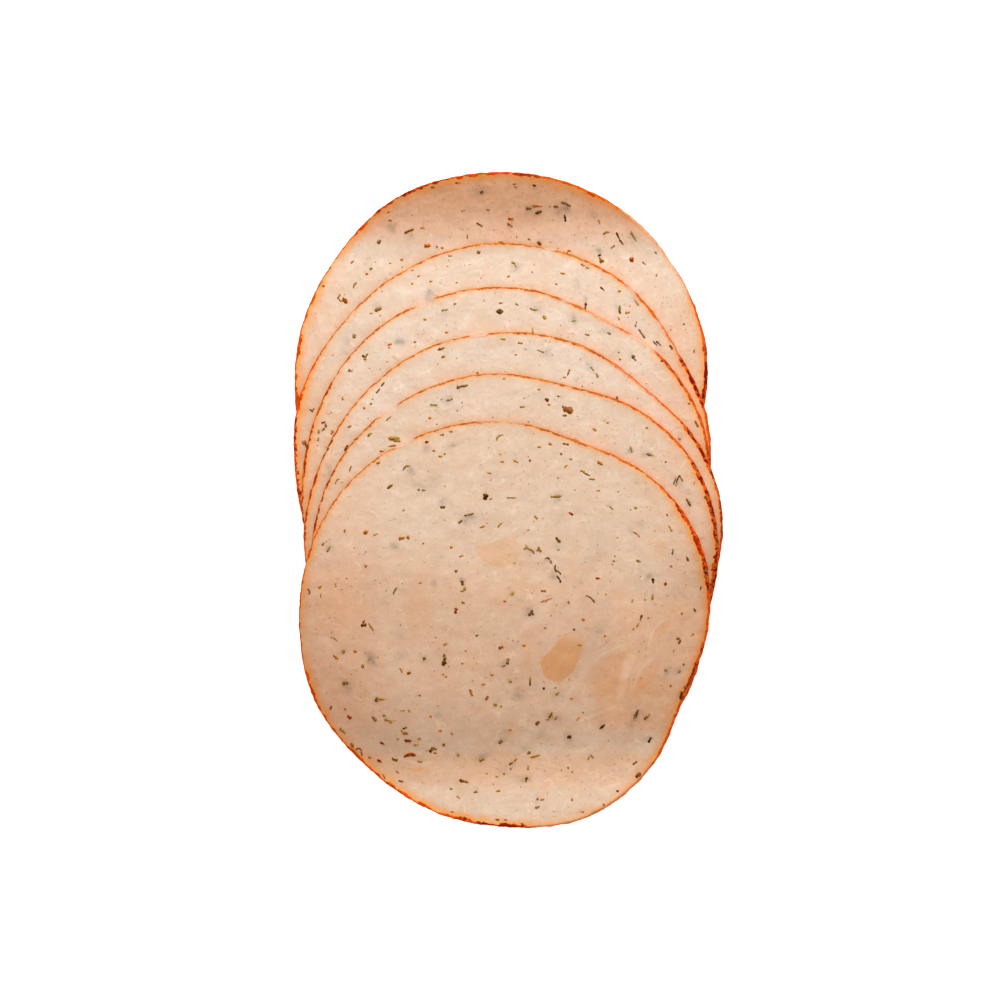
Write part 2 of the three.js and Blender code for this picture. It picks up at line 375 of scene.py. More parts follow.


# The flecks that stand out, listed: x, y, heading, length and width, and the bend of a curved one.
flecks = {
    "leaf": [
        (-47.2, -10.9, 60, 1, 0.5), (-16.8, -1.5, 0, 1.4, 0.6), (-12.3, -5.2, 40, 1.4, 0.5),
        (-50.9, -23, -75, 1.7, 0.5, 0.3), (-13.4, -17.7, 15, 0.8, 0.5), (12.5, -9.9, -50, 1.9, 0.6),
        (5.8, -12.7, -40, 2, 0.4, 0.3), (9.9, -14.7, -25, 1.5, 0.4, 0.5), (10.7, -15.4, -70, 1, 0.4),
        (41.6, -12.8, 80, 1.7, 0.4), (45.4, -14.7, -65, 1.5, 0.5), (32.9, -15.2, -15, 1.3, 0.5),
        (20.8, -24.8, -40, 3.1, 0.5, 0.3), (48.8, -22.1, 80, 1, 0.4), (49.9, -17.7, 60, 1.3, 0.5),
        (50, -19.5, -60, 1.5, 0.4), (-36.9, -31.5, 10, 1.6, 0.8), (-36.9, -30.7, 50, 1, 0.5),
        (-41.7, -46.3, 15, 1.7, 1.1), (-16.4, -40.8, 75, 2.3, 1.3), (-16.4, -39.5, -80, 1.5, 0.6),
        (-11.8, -20.8, -80, 1.5, 0.7), (-11.6, -25.8, -10, 1, 0.5), (-0.3, -40.7, 80, 1.7, 0.7),
        (-1.3, -41.9, 30, 1, 0.4), (-33.7, -50.5, 80, 1.3, 1), (-34.3, -55.5, -50, 1.8, 0.7),
        (-19.7, -63.4, 45, 1.7, 0.8), (-40, -62.4, -60, 1.4, 0.5), (-38.3, -63.5, -10, 1.8, 0.5, 0.6),
        (-37.6, -64.5, -75, 1.3, 0.4), (-22.7, -66.4, -5, 1.3, 0.6), (-11.5, -71.4, -15, 2.4, 0.8),
        (-31.9, -70.3, -65, 1.5, 0.4), (10.6, -54.5, 60, 1.8, 0.8), (32.1, -55.1, 0, 0.8, 0.6),
        (47.3, -27.7, -60, 1.3, 0.5), (43.5, -35.8, 60, 1.5, 0.5), (44.9, -47.4, 80, 0.9, 0.5),
        (44, -49.6, 80, 2.3, 0.8), (21.2, -65.1, -60, 1.2, 0.5), (4.4, -70.9, 80, 1.5, 0.6),
        (32.2, -66.8, 40, 1.5, 0.5), (33, -69.9, 40, 1.8, 1), (-2.9, -81.1, 0, 1.1, 0.4),
        (-0.8, -81.1, 0, 0.9, 0.4), (-39, 15.8, 40, 1.1, 0.5), (-41.4, 13.6, 60, 2, 0.6),
        (-33.2, 9.7, 20, 1, 0.5), (14, 23.8, -40, 1.3, 0.5), (14.2, 21.8, 0, 1.2, 0.5),
        (27.6, 26.2, -75, 1.1, 0.5), (35.1, 18.7, 0, 0.7, 0.6), (35.6, 11.9, -5, 1.2, 0.6),
        (42.2, 5.1, 70, 2, 0.3), (42.9, 5.5, 70, 2.3, 0.3), (43.8, 5.8, -60, 2, 0.4),
        (45.7, -0.3, -60, 2.4, 0.6), (39.9, 10, 40, 0.7, 0.4), (47.9, 19.7, -60, 2, 0.6),
        (43.5, 15.9, -40, 0.8, 0.4), (49.9, 1, 40, 0.8, 0.5), (-46.1, 13.3, 70, 1, 0.4),
        (25.6, 42.8, -20, 1.1, 0.5), (32.2, 36.1, -40, 0.9, 0.4), (-47.3, 20.1, 20, 1.2, 0.5),
        (-46.7, 19.3, -80, 1.3, 0.5), (-47.3, 18.3, 45, 1.1, 0.4), (28.3, 49.1, 85, 2, 0.6),
        (34, 42.8, -55, 3.1, 0.5), (19.6, 49.9, 80, 1.9, 0.5), (19.5, 49.1, 60, 0.8, 0.5),
        (37.4, 40.3, -45, 1.7, 0.4), (38.3, 40.3, -40, 1.8, 0.5), (41.5, 39.3, -50, 1.5, 0.5),
        (-50.4, 23.1, -40, 1.2, 0.5), (-49.9, 23.5, 50, 0.8, 0.4), (-25.5, 69.1, 25, 2.9, 0.6),
        (-33.2, 66.4, 40, 1.3, 0.8), (-43.5, 52.4, 60, 1.6, 0.5), (-43.2, 51.4, -60, 1, 0.4),
        (-42.6, 51.4, 60, 0.8, 0.5), (-7.5, 70.7, -30, 1.9, 0.5), (1.5, 80.9, 10, 1, 0.4),
        (1.8, 80.2, -20, 1, 0.4), (7.6, 73.8, 20, 1.9, 0.7), (12.1, 75.2, -5, 1.4, 0.5),
        (7.8, 66, -40, 1.4, 0.7), (27.9, 67.9, -65, 1.9, 0.5), (28.8, 66.3, -50, 1.9, 0.5),
        (31.8, 67.9, -60, 2.7, 0.6), (23.8, 61.4, 20, 1.3, 0.9), (23.4, 62.1, -60, 0.9, 0.4),
        (-19.4, 80.1, 20, 1, 0.5), (-47.4, 55.1, -40, 0.8, 0.6), (37.6, 63.6, -40, 0.8, 0.4),
        (-51.8, 14.3, -70, 1.3, 0.6),
    ],
    "olive": [
        (-45.8, -12.1, 60, 1.9, 0.7), (-28.8, -22.7, 60, 2.4, 0.4, 0.3), (-26.1, 8.5, 35, 2.3, 0.4, 0.5),
        (-30.2, 3.7, 40, 1.9, 0.6), (-21.6, 2.8, -5, 1, 0.4), (-16.3, 12, 20, 0.7, 0.5),
        (-17, 16.9, 15, 1.1, 0.5), (-2.4, 16.3, 40, 2.4, 0.5, 0.6), (-4.6, 0.6, 10, 0.8, 0.5),
        (-10.1, -3.4, 15, 2.7, 0.5), (-44, -21, 60, 0.7, 0.5), (14.5, 14.5, -10, 1.8, 0.5),
        (15.7, 10.7, 0, 0.8, 0.5), (19.9, 6.8, -20, 1.8, 0.4), (26, -1.7, -40, 1.3, 0.5),
        (32.2, -1.7, 0, 0.8, 0.6), (4.9, -7.3, 0, 0.7, 0.5), (12, 1.2, 5, 2.9, 0.7), (0.6, 0.9, 0, 2.4, 0.4),
        (5, -11.8, -40, 2.3, 0.6, -0.3), (7.8, -12.3, -60, 1.7, 0.5), (7.4, -12.1, 70, 1.5, 0.4),
        (26.7, -15.2, 0, 0.7, 0.5), (-35, -32, -55, 2.5, 0.4), (-44.5, -35, -30, 2.2, 0.4, 0.3),
        (-42.1, -38.2, 80, 1.1, 0.8), (-37.2, -42, 75, 1, 0.6), (-11.6, -22.3, 50, 2, 0.8, -0.4),
        (-8.1, -34.1, 40, 0.8, 0.5), (-22.7, -49.4, 0, 0.7, 0.5), (-31.7, -54.6, 0, 0.9, 0.8),
        (-26.3, -59.3, 0, 1.5, 0.6, 0.3), (-22.8, -60.5, 25, 1, 0.5), (-28.3, -60.6, 20, 0.8, 0.5),
        (-19.1, -63.1, -15, 1.7, 0.6), (-42.4, -58.7, -40, 2, 0.7), (-2.1, -61.3, 35, 1.3, 0.8),
        (-3.5, -51.8, 0, 1, 0.7), (0.4, -45.8, 0, 0.9, 0.6), (-12.9, -64.7, -60, 0.8, 0.5),
        (-6.9, -65.9, 20, 1.5, 0.8), (-10.9, -71.5, -15, 1.5, 0.5), (-14.7, -73.3, 0, 0.8, 0.5),
        (-14.4, -79.1, 0, 0.9, 0.5), (5.4, -45.8, 90, 2.5, 0.6), (12.3, -48.9, 40, 1.3, 0.6),
        (12, -55.2, 65, 1.3, 0.6), (9.9, -55.5, 10, 0.9, 0.5), (18.9, -53.8, -40, 0.7, 0.4),
        (34.9, -55.2, 60, 1.5, 0.5), (35.6, -54.7, 60, 1.5, 0.4), (5.1, -64.1, 45, 1.1, 0.7),
        (33.6, -29.6, 70, 1.8, 0.5), (44, -28.6, 80, 0.9, 0.5), (42, -38.1, 70, 0.7, 0.4),
        (44.6, -41.6, 0, 0.8, 0.5), (40, -43.1, 0, 0.8, 0.6), (43.5, -43.4, 70, 0.9, 0.5),
        (0.6, -66.8, 35, 1.3, 0.5), (0.5, -68.2, 0, 0.6, 0.5), (7.3, -77.9, 20, 1.4, 0.5),
        (15.1, -67.9, 0, 0.6, 0.5), (16.2, -69, 0, 0.6, 0.5), (-35.4, 16.9, 40, 1.5, 0.7, 0.2),
        (-29.2, 16, 0, 3.1, 0.8), (-28.5, 15.4, -5, 2, 0.6), (-29.6, 14.1, 10, 2.1, 0.4),
        (-43.7, 5.1, 55, 1.8, 0.4, 0.3), (-19.1, 24.5, -5, 1.9, 0.5), (-15.1, 25.8, 15, 1.8, 0.5),
        (-30.6, 21, 40, 1.8, 0.4), (3.4, 24, 0, 1.3, 0.5), (12.7, 26.7, 0, 1, 0.4),
        (31.1, 13.2, -75, 1.9, 0.5), (42.6, 4.4, 65, 1.3, 0.3), (-33.3, 28.1, 50, 1.7, 0.4),
        (-35.1, 24.8, 60, 0.7, 0.5), (-40.6, 19, 30, 1.2, 0.6), (-17.2, 38.8, 15, 2, 0.6),
        (-1.5, 41.3, -5, 1.4, 0.4), (8.1, 38.2, -20, 2, 0.4), (21.2, 33.8, -50, 1.5, 0.4),
        (22.5, 32, -70, 1.2, 0.5), (-1.2, 31.2, 0, 0.8, 0.4), (-40.4, 33.3, -20, 1.2, 0.7),
        (-16.4, 48.8, 10, 1.8, 0.5), (6.3, 49, -10, 2.1, 0.5, -0.3), (2.1, 50.2, -30, 1, 0.5),
        (20, 42.5, -15, 1.3, 0.4), (16.5, 46, 20, 1, 0.4), (28.1, 38, -30, 0.6, 0.4),
        (-48.5, 17.8, 85, 1.2, 0.5), (-48.6, 15.8, 75, 1, 0.5), (-33.4, 49.1, 30, 2.1, 0.9),
        (-39.5, 42.2, 90, 1.3, 0.8), (-15, 62.7, 0, 1.1, 0.4), (1.2, 60.9, -20, 1.2, 0.5),
        (1.7, 60.2, -60, 0.9, 0.4), (20.1, 59.6, -20, 1, 0.4), (32.5, 45.2, 75, 1.6, 0.4),
        (32.7, 50.7, -50, 2, 0.4), (12.1, 55.5, 0, 0.6, 0.4), (-39.4, 55.3, 60, 1.9, 0.5, 0.3),
        (-5.3, 74.5, -20, 0.9, 0.6), (-11.9, 74.2, 0, 0.6, 0.4), (0.3, 70.6, -35, 1.8, 0.5),
        (5.2, 67, -20, 0.8, 0.4), (24.9, 68.6, 20, 1.9, 0.4, 0.3), (32.2, 67.3, -60, 2, 0.4),
        (-35.3, 59.5, 30, 0.9, 0.6), (-40.1, 61.2, 50, 1.1, 0.4), (-10.6, 67.7, 85, 1.3, 0.4),
        (37.8, 57.8, 0, 0.6, 0.5), (47.4, 38.4, 80, 1.1, 0.3),
    ],
    "seed": [
        (-36.4, -7.9, 40, 1.4, 1.1), (-27.2, -9.4, 10, 1.7, 0.9), (-25.6, -9.2, 0, 0.9, 0.8),
        (-14.6, -11.7, 0, 0.8, 0.7), (15.1, 23.2, -15, 2.8, 1.5),
    ],
    "gold": [
        (-41.7, -7.5, 90, 1, 0.5), (-33.8, -8.4, 20, 1.3, 0.5), (-12.1, -13.9, 20, 1.3, 0.5),
        (-17.4, 11.4, 0, 1.1, 0.5), (-6.8, -6.5, 20, 1.4, 0.5), (-2.3, -6.1, 50, 1.7, 0.5, 0.2),
        (-5, 7.2, -5, 1.1, 0.5), (-47.8, -23.9, 85, 1.3, 0.4), (10.5, 14.6, 0, 1, 0.7),
        (7.7, 13.8, 0, 1, 0.5), (14.5, 8.8, 50, 1.1, 0.5, 0.3), (18.7, 7.6, -20, 1.4, 0.6),
        (21.1, 5.6, -5, 1.7, 0.4), (22.7, 2.7, -5, 1, 0.6), (32.4, -8.4, -35, 2.3, 0.5, 0.3),
        (12.6, -12.3, 20, 0.8, 0.4), (6.9, -4.1, -50, 1.3, 0.6), (1.8, 10.1, -25, 1.4, 0.5),
        (-1.7, 10, 0, 1, 0.5), (-2.2, 11.9, 0, 0.6, 0.4), (4.1, -12, 0, 0.8, 0.5),
        (36.5, -24.3, 80, 1.7, 0.5), (41, -6.9, -60, 1.9, 0.5), (10.1, -25.1, 30, 2.3, 0.4, 0.4),
        (0.9, -23.4, 70, 1.1, 0.6), (-16.2, -36.3, 40, 1.2, 0.7), (-11.8, -41.2, 0, 0.7, 0.5),
        (-6.5, -46.5, 20, 1, 0.7), (-32.4, -50.4, 0, 1.7, 0.6), (-30.7, -55.9, -20, 2.3, 0.9),
        (-27, -53.3, 0, 1.3, 0.4), (-25.4, -53.3, -50, 1, 0.5), (-27.2, -58.6, -60, 1.3, 0.4),
        (-23.6, -62.1, 5, 1.5, 0.4), (-2, -52.2, 0, 0.6, 0.5), (-3, -70.2, 0, 0.8, 0.5),
        (-2.7, -73.8, 15, 1.1, 0.6), (8.7, -25.4, 30, 1.3, 0.4), (9.2, -32.1, 0, 0.7, 0.5),
        (18, -36.5, 0, 1.1, 0.5), (3.8, -36.6, 0, 1, 0.6), (17.6, -55.4, 60, 1.2, 0.5),
        (6.7, -65, 15, 2.7, 0.5), (32.7, -31.5, 55, 1.3, 0.4), (31.7, -32.4, 30, 0.7, 0.4),
        (31.4, -25.2, 80, 0.8, 0.4), (20.4, -65.4, 60, 1.3, 0.5), (4.9, -67.9, 85, 1.3, 0.6),
        (8.5, -76, 20, 1.1, 0.5), (16.1, -76, 0, 0.7, 0.6), (34.6, -25, 0, 0.6, 0.5),
        (-20.1, 21.2, 0, 0.8, 0.6), (10.2, 24.6, 0, 0.8, 0.6), (25.1, 20, 0, 0.7, 0.6),
        (21.8, 18.2, -30, 1.2, 0.6), (7.7, 28.4, 0, 0.9, 0.4), (36.4, 11.7, 0, 0.7, 0.4),
        (47.1, 4.6, 80, 1, 0.3), (-16.7, 36.8, 20, 1.1, 0.5), (-8, 32.8, 0, 0.7, 0.6),
        (2.9, 40.3, -5, 1.3, 0.5), (15.2, 32.8, 70, 2, 0.5), (14.2, 31.6, 0, 0.8, 0.5),
        (-42.4, 26.1, -60, 0.8, 0.5), (-30.5, 39.2, 10, 0.8, 0.4), (-2, 50.6, 0, 1.2, 0.4),
        (-21.4, 46.4, 0, 0.9, 0.5), (9.1, 46.9, -60, 1.2, 0.9), (6.1, 43.5, 90, 1.9, 0.5),
        (-13.7, 50.4, 0, 0.8, 0.5), (46, 25, 0, 0.8, 0.5), (-19.9, 56.2, 0, 0.8, 0.5),
        (-0.1, 57.5, 30, 0.9, 0.6), (18.9, 60.4, -25, 1.2, 0.7), (13.8, 58.2, -10, 1.3, 0.4),
        (28.1, 46.7, -70, 0.9, 0.4), (30.3, 48.2, 15, 1.3, 0.6), (28.3, 53.7, 0, 0.9, 0.5),
        (23.1, 71.4, -65, 1.3, 0.5), (26.6, 65.1, 35, 1.5, 0.5), (34.6, 60.9, -40, 1.3, 0.5),
        (14.9, 63.5, 80, 1.2, 0.4), (15.5, 64.1, 0, 1, 0.4), (-27.4, 61.9, 20, 0.9, 0.6),
        (-22.1, 69.9, 0, 1.2, 0.4), (-2.1, 66.4, 5, 1.2, 0.5),
    ],
    "red": [
        (-21.7, -10.7, 40, 0.6, 0.5), (-20.8, 15, 20, 1.1, 0.7), (-19, 12.8, 0, 0.8, 0.6),
        (-14.7, 17.7, -5, 1, 0.5), (-48, -21.8, 40, 1.1, 0.8), (-36.4, -16.5, -50, 0.8, 0.5),
        (-26.8, -2.3, 30, 0.8, 0.5), (-22.5, -20.7, 10, 0.8, 0.4), (13.3, 12, 0, 0.7, 0.6),
        (23.2, 9.6, -30, 1.7, 0.7), (15.8, -3.2, -30, 1.4, 0.5), (22.5, -19.6, 0, 1, 0.6),
        (39.8, -21, 65, 1.1, 0.6), (41.2, -16.5, 0, 0.7, 0.6), (8.8, -22.8, 5, 1.4, 0.6),
        (-36.3, -16.5, 60, 0.8, 0.4), (-44.1, -39.7, -40, 1.7, 0.6), (-39.1, -38.2, -5, 1, 0.7),
        (-27.4, -43, -60, 1.5, 0.4), (-25.4, -43.7, 25, 1.2, 0.6), (-13.5, -27.8, 80, 1.6, 0.8),
        (-1, -25.4, 0, 0.8, 0.4), (-2, -37.2, 20, 1.4, 0.7), (-11, -38, 0, 0.6, 0.4),
        (-4.3, -44.1, 0, 0.9, 0.7), (-16.7, -44, 20, 0.8, 0.4), (-16, -44.6, 40, 0.7, 0.5),
        (-9.6, -48.7, -70, 2, 0.6), (-5.6, -50, 60, 1.2, 0.7), (-40.7, -55.1, -40, 1.4, 1),
        (-41.7, -53, 0, 0.6, 0.6), (-45.4, -52.7, 60, 1.3, 0.5), (-25.7, -61.1, -5, 1.9, 0.7),
        (-19.9, -54.8, 0, 0.7, 0.5), (-17.5, -58.4, 0, 1, 0.6), (-14.5, -59.2, -40, 0.9, 0.5),
        (-18.8, -64.2, 0, 1, 0.5), (-32.3, -61.8, -30, 1.5, 0.5), (0.3, -58.2, 0, 0.8, 0.5),
        (-35.5, -65.5, -25, 1, 0.6), (-33, -66.4, -30, 1.4, 0.6), (-25.3, -64.9, 10, 3.3, 0.8, 0.5),
        (-8.5, -74.1, 15, 1.1, 0.6), (-12.9, -75.4, -35, 1.1, 0.5), (-28.4, -69.1, -40, 1.2, 0.5),
        (-27.5, -71.5, -10, 1.4, 0.5), (18.9, -30.1, -40, 0.9, 0.6), (24.4, -34.2, 0, 0.7, 0.6),
        (15.9, -50.2, 0, 0.9, 0.5), (46.9, -33.9, 40, 0.8, 0.5), (1.7, -65.9, 40, 1.1, 0.7),
        (24.2, -77.3, 0, 0.6, 0.5), (18.8, -79.1, 10, 0.8, 0.5), (-40.3, 8.3, 70, 1.6, 0.4),
        (-32.3, 12.7, 0, 1.2, 0.5), (9.7, 25.8, -30, 1.2, 0.9), (-36.8, 23.7, -40, 0.8, 0.5),
        (-45.1, 17.6, 60, 1.3, 0.8), (1.8, 37.3, 0, 0.6, 0.5), (-30.4, 40, 20, 1.1, 0.7),
        (-15.9, 43.1, 0, 0.9, 0.5), (-23.9, 40.6, 0, 0.7, 0.4), (28.4, 36.2, 0, 0.6, 0.5),
        (-35.2, 48, 10, 0.8, 0.4), (-24.7, 55.6, 0, 0.7, 0.5), (-23, 57.5, 30, 0.9, 0.4),
        (-24.7, 59, 20, 0.8, 0.4), (23.9, 54.3, -40, 1.5, 0.4), (39.1, 35.8, 0, 0.8, 0.5),
        (-20.8, 65.4, 0, 1.7, 1.2), (-41.9, 51.3, -50, 1.9, 0.9), (0.5, 72.2, -5, 1.5, 0.8),
        (7.3, 75.4, 0, 2.7, 0.6), (31.4, 61.8, 0, 1.2, 1.1), (-36.3, 58.2, 20, 0.8, 0.5),
        (-30.3, 71.8, 10, 0.9, 0.5), (-30.7, 73.9, 20, 0.8, 0.5), (-13, 81.2, 5, 1.4, 0.5),
        (-17, 64.9, 0, 0.9, 0.5), (-52.3, 15, 20, 1.3, 0.9),
    ],
    "black": [
        (-22.9, 2.9, 0, 0.6, 0.5), (-6, 1.1, 75, 1.7, 1.3), (5.4, 10.3, 0, 0.6, 0.6),
        (11.9, -17.1, -80, 2, 0.5, -0.3), (12.6, -18.1, -40, 2, 0.4, 0.3), (12.7, -19.8, -60, 2.2, 0.5, 0.2),
        (36.6, -20.2, -80, 1.4, 0.6), (40.2, -3.5, -50, 0.8, 0.4), (-21.5, -40, 0, 0.8, 0.7),
        (-13.4, -17.8, 20, 0.8, 0.5), (-26.5, -57.8, 20, 1.3, 0.4), (-16.6, -62.1, 0, 0.8, 0.7),
        (-29.1, -65.9, -20, 1.7, 0.7, -0.3), (5.5, -28.4, 60, 1.9, 0.6), (6, -28.3, -75, 1.5, 0.5),
        (15.2, -25.7, -80, 0.7, 0.5), (16.6, -32.6, -20, 0.7, 0.5), (8.9, -47.6, 70, 0.7, 0.5),
        (7.3, -56.5, 45, 1.4, 0.8), (23.8, -57.5, 40, 1.9, 0.6), (32.5, -54.2, 65, 2.4, 0.8),
        (15.4, -60.1, 10, 1.3, 0.7), (43.1, -35, 10, 1, 0.6), (41.3, -47.1, -40, 0.7, 0.5),
        (36, -60.9, 60, 1.7, 0.6), (-1.2, -69.5, -20, 0.6, 0.5), (7.3, -75.9, 0, 0.6, 0.5),
        (27.7, -73.9, 0, 0.7, 0.6), (-11.5, 29.3, 10, 2.5, 0.5), (-12.8, 28.9, -15, 1, 0.7),
        (-32.1, 29.8, 50, 1.4, 0.4), (-36.9, 36.9, -25, 1.4, 0.6), (-36.7, 36.2, -15, 0.9, 0.5),
        (-36.2, 37.3, 60, 0.9, 0.4), (-2.3, 48.4, 5, 1.9, 1), (31.7, 36.8, 70, 1, 0.8),
        (-7.7, 63.6, -15, 1, 0.7), (28.4, 48.3, -60, 0.9, 0.6), (-6.9, 78.9, 20, 1, 0.8),
        (6.5, 80.5, -20, 1, 0.5), (5.1, 74.8, 0, 1.6, 0.8), (14.2, 76.1, -15, 2, 0.8),
        (15.2, 75.6, -25, 1.4, 0.5), (14.4, 72.3, -80, 1.9, 0.5), (23.2, 62.9, 20, 0.9, 0.6),
        (44.8, 45.3, 0, 0.6, 0.5),
    ],
}

# Herb that shows through the cut face as a blurred grey spot: x, y, radius and strength.
shadows = {
    "seen": [
        (-29.8, 69.7, 1.3, 0.8), (-20.3, 52.7, 1.8, 0.8), (-27.8, 40.7, 1.4, 0.95), (-7, 78.7, 1.8, 0.7),
        (-10.1, 74.4, 1, 0.5), (5.2, 74.6, 1.8, 0.6), (7.6, 73.6, 1.5, 0.6), (13.1, 74.5, 2, 0.55),
        (14.8, 74.7, 1.5, 0.6), (0.3, 70.6, 1.3, 0.5), (21.5, 73.7, 2.3, 0.35), (31.9, 67.6, 2, 0.45),
        (23.1, 63.9, 1.3, 0.8), (8.2, 66.8, 1, 0.4), (2.1, 59.7, 1.5, 0.6), (20.2, 59.7, 1, 0.4),
        (-25.4, 68.4, 1.5, 0.35), (-35.9, 62.2, 0.8, 0.5), (-41.3, 40.8, 1.5, 0.45), (-41.8, 38, 1.3, 0.35),
        (-33.6, 49.8, 1.5, 0.35), (-16.5, 48, 1.3, 0.4), (19.6, 51.5, 1.3, 0.5), (17.6, 55.6, 1.8, 0.35),
        (16.5, 46.7, 1.5, 0.5), (16.6, 45.7, 1, 0.4), (24.5, 43.4, 1.3, 0.4), (7.2, 49, 1.8, 0.35),
        (32.4, 51.5, 1.5, 0.4), (27.6, 49.5, 1.3, 0.4), (38.3, 39.6, 1.8, 0.4), (31, 37, 1, 0.6),
        (9.7, 38, 1.8, 0.35), (20.5, 34.5, 1.3, 0.4), (-15.5, 25.5, 2, 0.45), (-19.1, 24.4, 1.5, 0.45),
        (-11.7, 28.6, 1.5, 0.35), (-14.1, 14.1, 1.5, 0.75), (-21.1, 13.3, 1.5, 0.4), (-25.2, 8.2, 1.5, 0.6),
        (-24.7, 7.4, 1.5, 0.35), (-23.2, 3.9, 1.8, 0.45), (-21.9, 2.7, 1, 0.4), (-17, -0.5, 1.5, 0.45),
        (-10.7, -4.6, 2, 0.55), (-9.4, -3.9, 1.8, 0.45), (-5.8, 1.8, 1.3, 0.35), (-29, -11.4, 1.1, 0.85),
        (-45.3, -12, 1.5, 0.45), (-45.8, 8.4, 1.3, 0.6), (-45.3, 6.4, 1.3, 0.4), (-11.9, -20.1, 1.1, 0.85),
        (-19, -21, 1.3, 0.5), (12.5, 1, 2, 0.4), (5.4, -12.7, 1.8, 0.4), (9.7, -15.3, 1.5, 0.35),
        (11.8, -18.3, 1.5, 0.5), (11.5, -19.4, 1.3, 0.35), (12.4, -11.7, 1.3, 0.35), (30.9, -7.6, 1.3, 0.55),
        (35.6, -19.1, 1.5, 0.75), (34.7, 11.8, 1.1, 0.65), (36.3, 11.8, 1.1, 0.5), (30.9, 12.9, 1.3, 0.5),
        (42.9, 4.9, 1.8, 0.5), (45.7, -0.7, 1.5, 0.45), (45.7, 2.3, 1, 0.5), (43.5, 15.9, 1.3, 0.5),
        (0.7, -23.1, 1.3, 0.5), (5.4, -28.5, 1.8, 0.7), (3.1, -25.2, 1.3, 0.4), (22.9, -33.2, 1.3, 0.5),
        (7.9, -36.2, 1, 0.4), (1.8, -36.2, 1, 0.35), (-35.1, -40.1, 1.5, 0.8), (-34.4, -41.3, 1.5, 0.6),
        (-35.9, -39, 1.3, 0.4), (-41.8, -46.4, 2, 0.45), (-40.7, -47.9, 2, 0.4), (-42, -38.2, 1.3, 0.4),
        (-21.5, -40, 1.4, 0.5), (-16.3, -40.8, 1.8, 0.4), (-33.6, -51, 1.5, 0.4), (-17.9, -54.4, 1, 0.65),
        (-1, -41, 1.5, 0.5), (-1.3, -42, 1.3, 0.5), (0.1, -45.6, 1.3, 0.55), (2.1, -49.7, 1.5, 0.65),
        (2.3, -47.9, 1, 0.4), (-3.5, -51.9, 1, 0.4), (-2.1, -61.3, 1.4, 0.65), (-6.3, -65, 1.8, 0.55),
        (-7.6, -65.5, 1.5, 0.45), (-13, -64.6, 1, 0.4), (4.4, -63.1, 1.3, 0.4), (0.8, -67, 1.5, 0.55),
        (-1.5, -68.6, 1.8, 0.4), (4.4, -70.9, 1.5, 0.6), (2.9, -70.6, 1.5, 0.35), (15.2, -60.5, 1.7, 0.6),
        (10.5, -54.8, 2, 0.5), (12.5, -55.3, 1.5, 0.4), (8.2, -59.1, 1.8, 0.35), (23.9, -57.1, 1.5, 0.45),
        (32.4, -54.8, 2, 0.6), (35.2, -55.1, 1.5, 0.5), (31.2, -57.6, 1.5, 0.35), (12.3, -49.1, 1.3, 0.4),
        (40.3, -43.3, 1.8, 0.5), (43.1, -43.3, 1.3, 0.4), (43.9, -49.2, 1.5, 0.55), (35.5, -60.7, 1.5, 0.4),
        (33.1, -69.6, 1.3, 0.35), (7.2, -75.5, 1.3, 0.35),
    ],
    # a scatter of fainter ones on each face: how many, how far out, and the least of each measure, how much
    # more at most, and a power that makes the larger ones rarer
    "seed": 300, "scatter": 70, "reach": 50, "size": (1.0, 2.2, 1), "strength": (0.05, 0.15, 2),
    "slim": (0.45, 0.4, 1), "blur": 0.8,
}


def topLayer(x, y, by=0.1):  # the slice whose upper face is seen at each place, or -1 on the bare table
    top = np.full(len(x), -1)
    for layer, lay in enumerate(laid):
        top = np.where(pastRim(lay, x, y) < -by, layer, top)
    return top


def covered(layer, x, y, by=1):  # true where a later slice lies over this one
    over = np.zeros(len(x), bool)
    for lay in laid[layer + 1:]:
        over |= pastRim(lay, x, y) < -by
    return over


def somewhere(draw, lay, reach, count=None):  # places spread evenly over a slice, this far out at most
    out, heading = reach * np.sqrt(draw.random(count)), draw.random(count) * 2 * math.pi
    return lay["x"] + out * np.cos(heading), lay["y"] + out * np.sin(heading)


# A span is the least, how much more at most, and a power that makes the larger ones rarer.
def between(draw, span, count=None):
    least, more, rare = span
    return least + more * draw.random(count) ** rare


# Blurred grey where a herb lies just under the cut face: the named ones, and a scatter of fainter ones.
def shadowField(layer, x, y, face):
    total = np.zeros(len(x))
    spots = []
    if face:
        at = np.array([spot[:2] for spot in shadows["seen"]])
        onThis = topLayer(at[:, 0], at[:, 1]) == layer
        spots += [shadows["seen"][k] for k in np.nonzero(onThis)[0]]
    draw = np.random.default_rng(shadows["seed"] + 2 * layer + face)
    for k in range(shadows["scatter"]):
        place = somewhere(draw, laid[layer], shadows["reach"])
        spots.append((*place, between(draw, shadows["size"]), between(draw, shadows["strength"])))
    for atX, atY, size, strength in spots:
        heading, slim = draw.random() * math.pi, between(draw, shadows["slim"])
        near = np.hypot(x - atX, y - atY) < 3 * size
        along, across = turned(x[near] - atX, y[near] - atY, heading)
        spread = shadows["blur"] * size * size
        total[near] += strength * np.exp(-(along ** 2 + (across / slim) ** 2) / spread)
    return np.clip(total, 0, 1)


def rimSideTintField(layer, x, y):  # an orange tint, darker in green and blue, beside the rims of the slices that lie on this one
    total = np.zeros(len(x))
    for lay in laid[layer + 1:]:
        heading = np.arctan2(y - lay["y"], x - lay["x"])
        past = np.clip(pastRim(lay, x, y), 0, None)
        total = np.maximum(total, np.exp(-past / skin["rimSideTintReach"]) * (1 - rimThinness(lay, heading)))
    return total


pallor = [0.25, 0.5, 0.55, 0.8, 0.3, 0.0]  # some slices are cut from paler meat than others
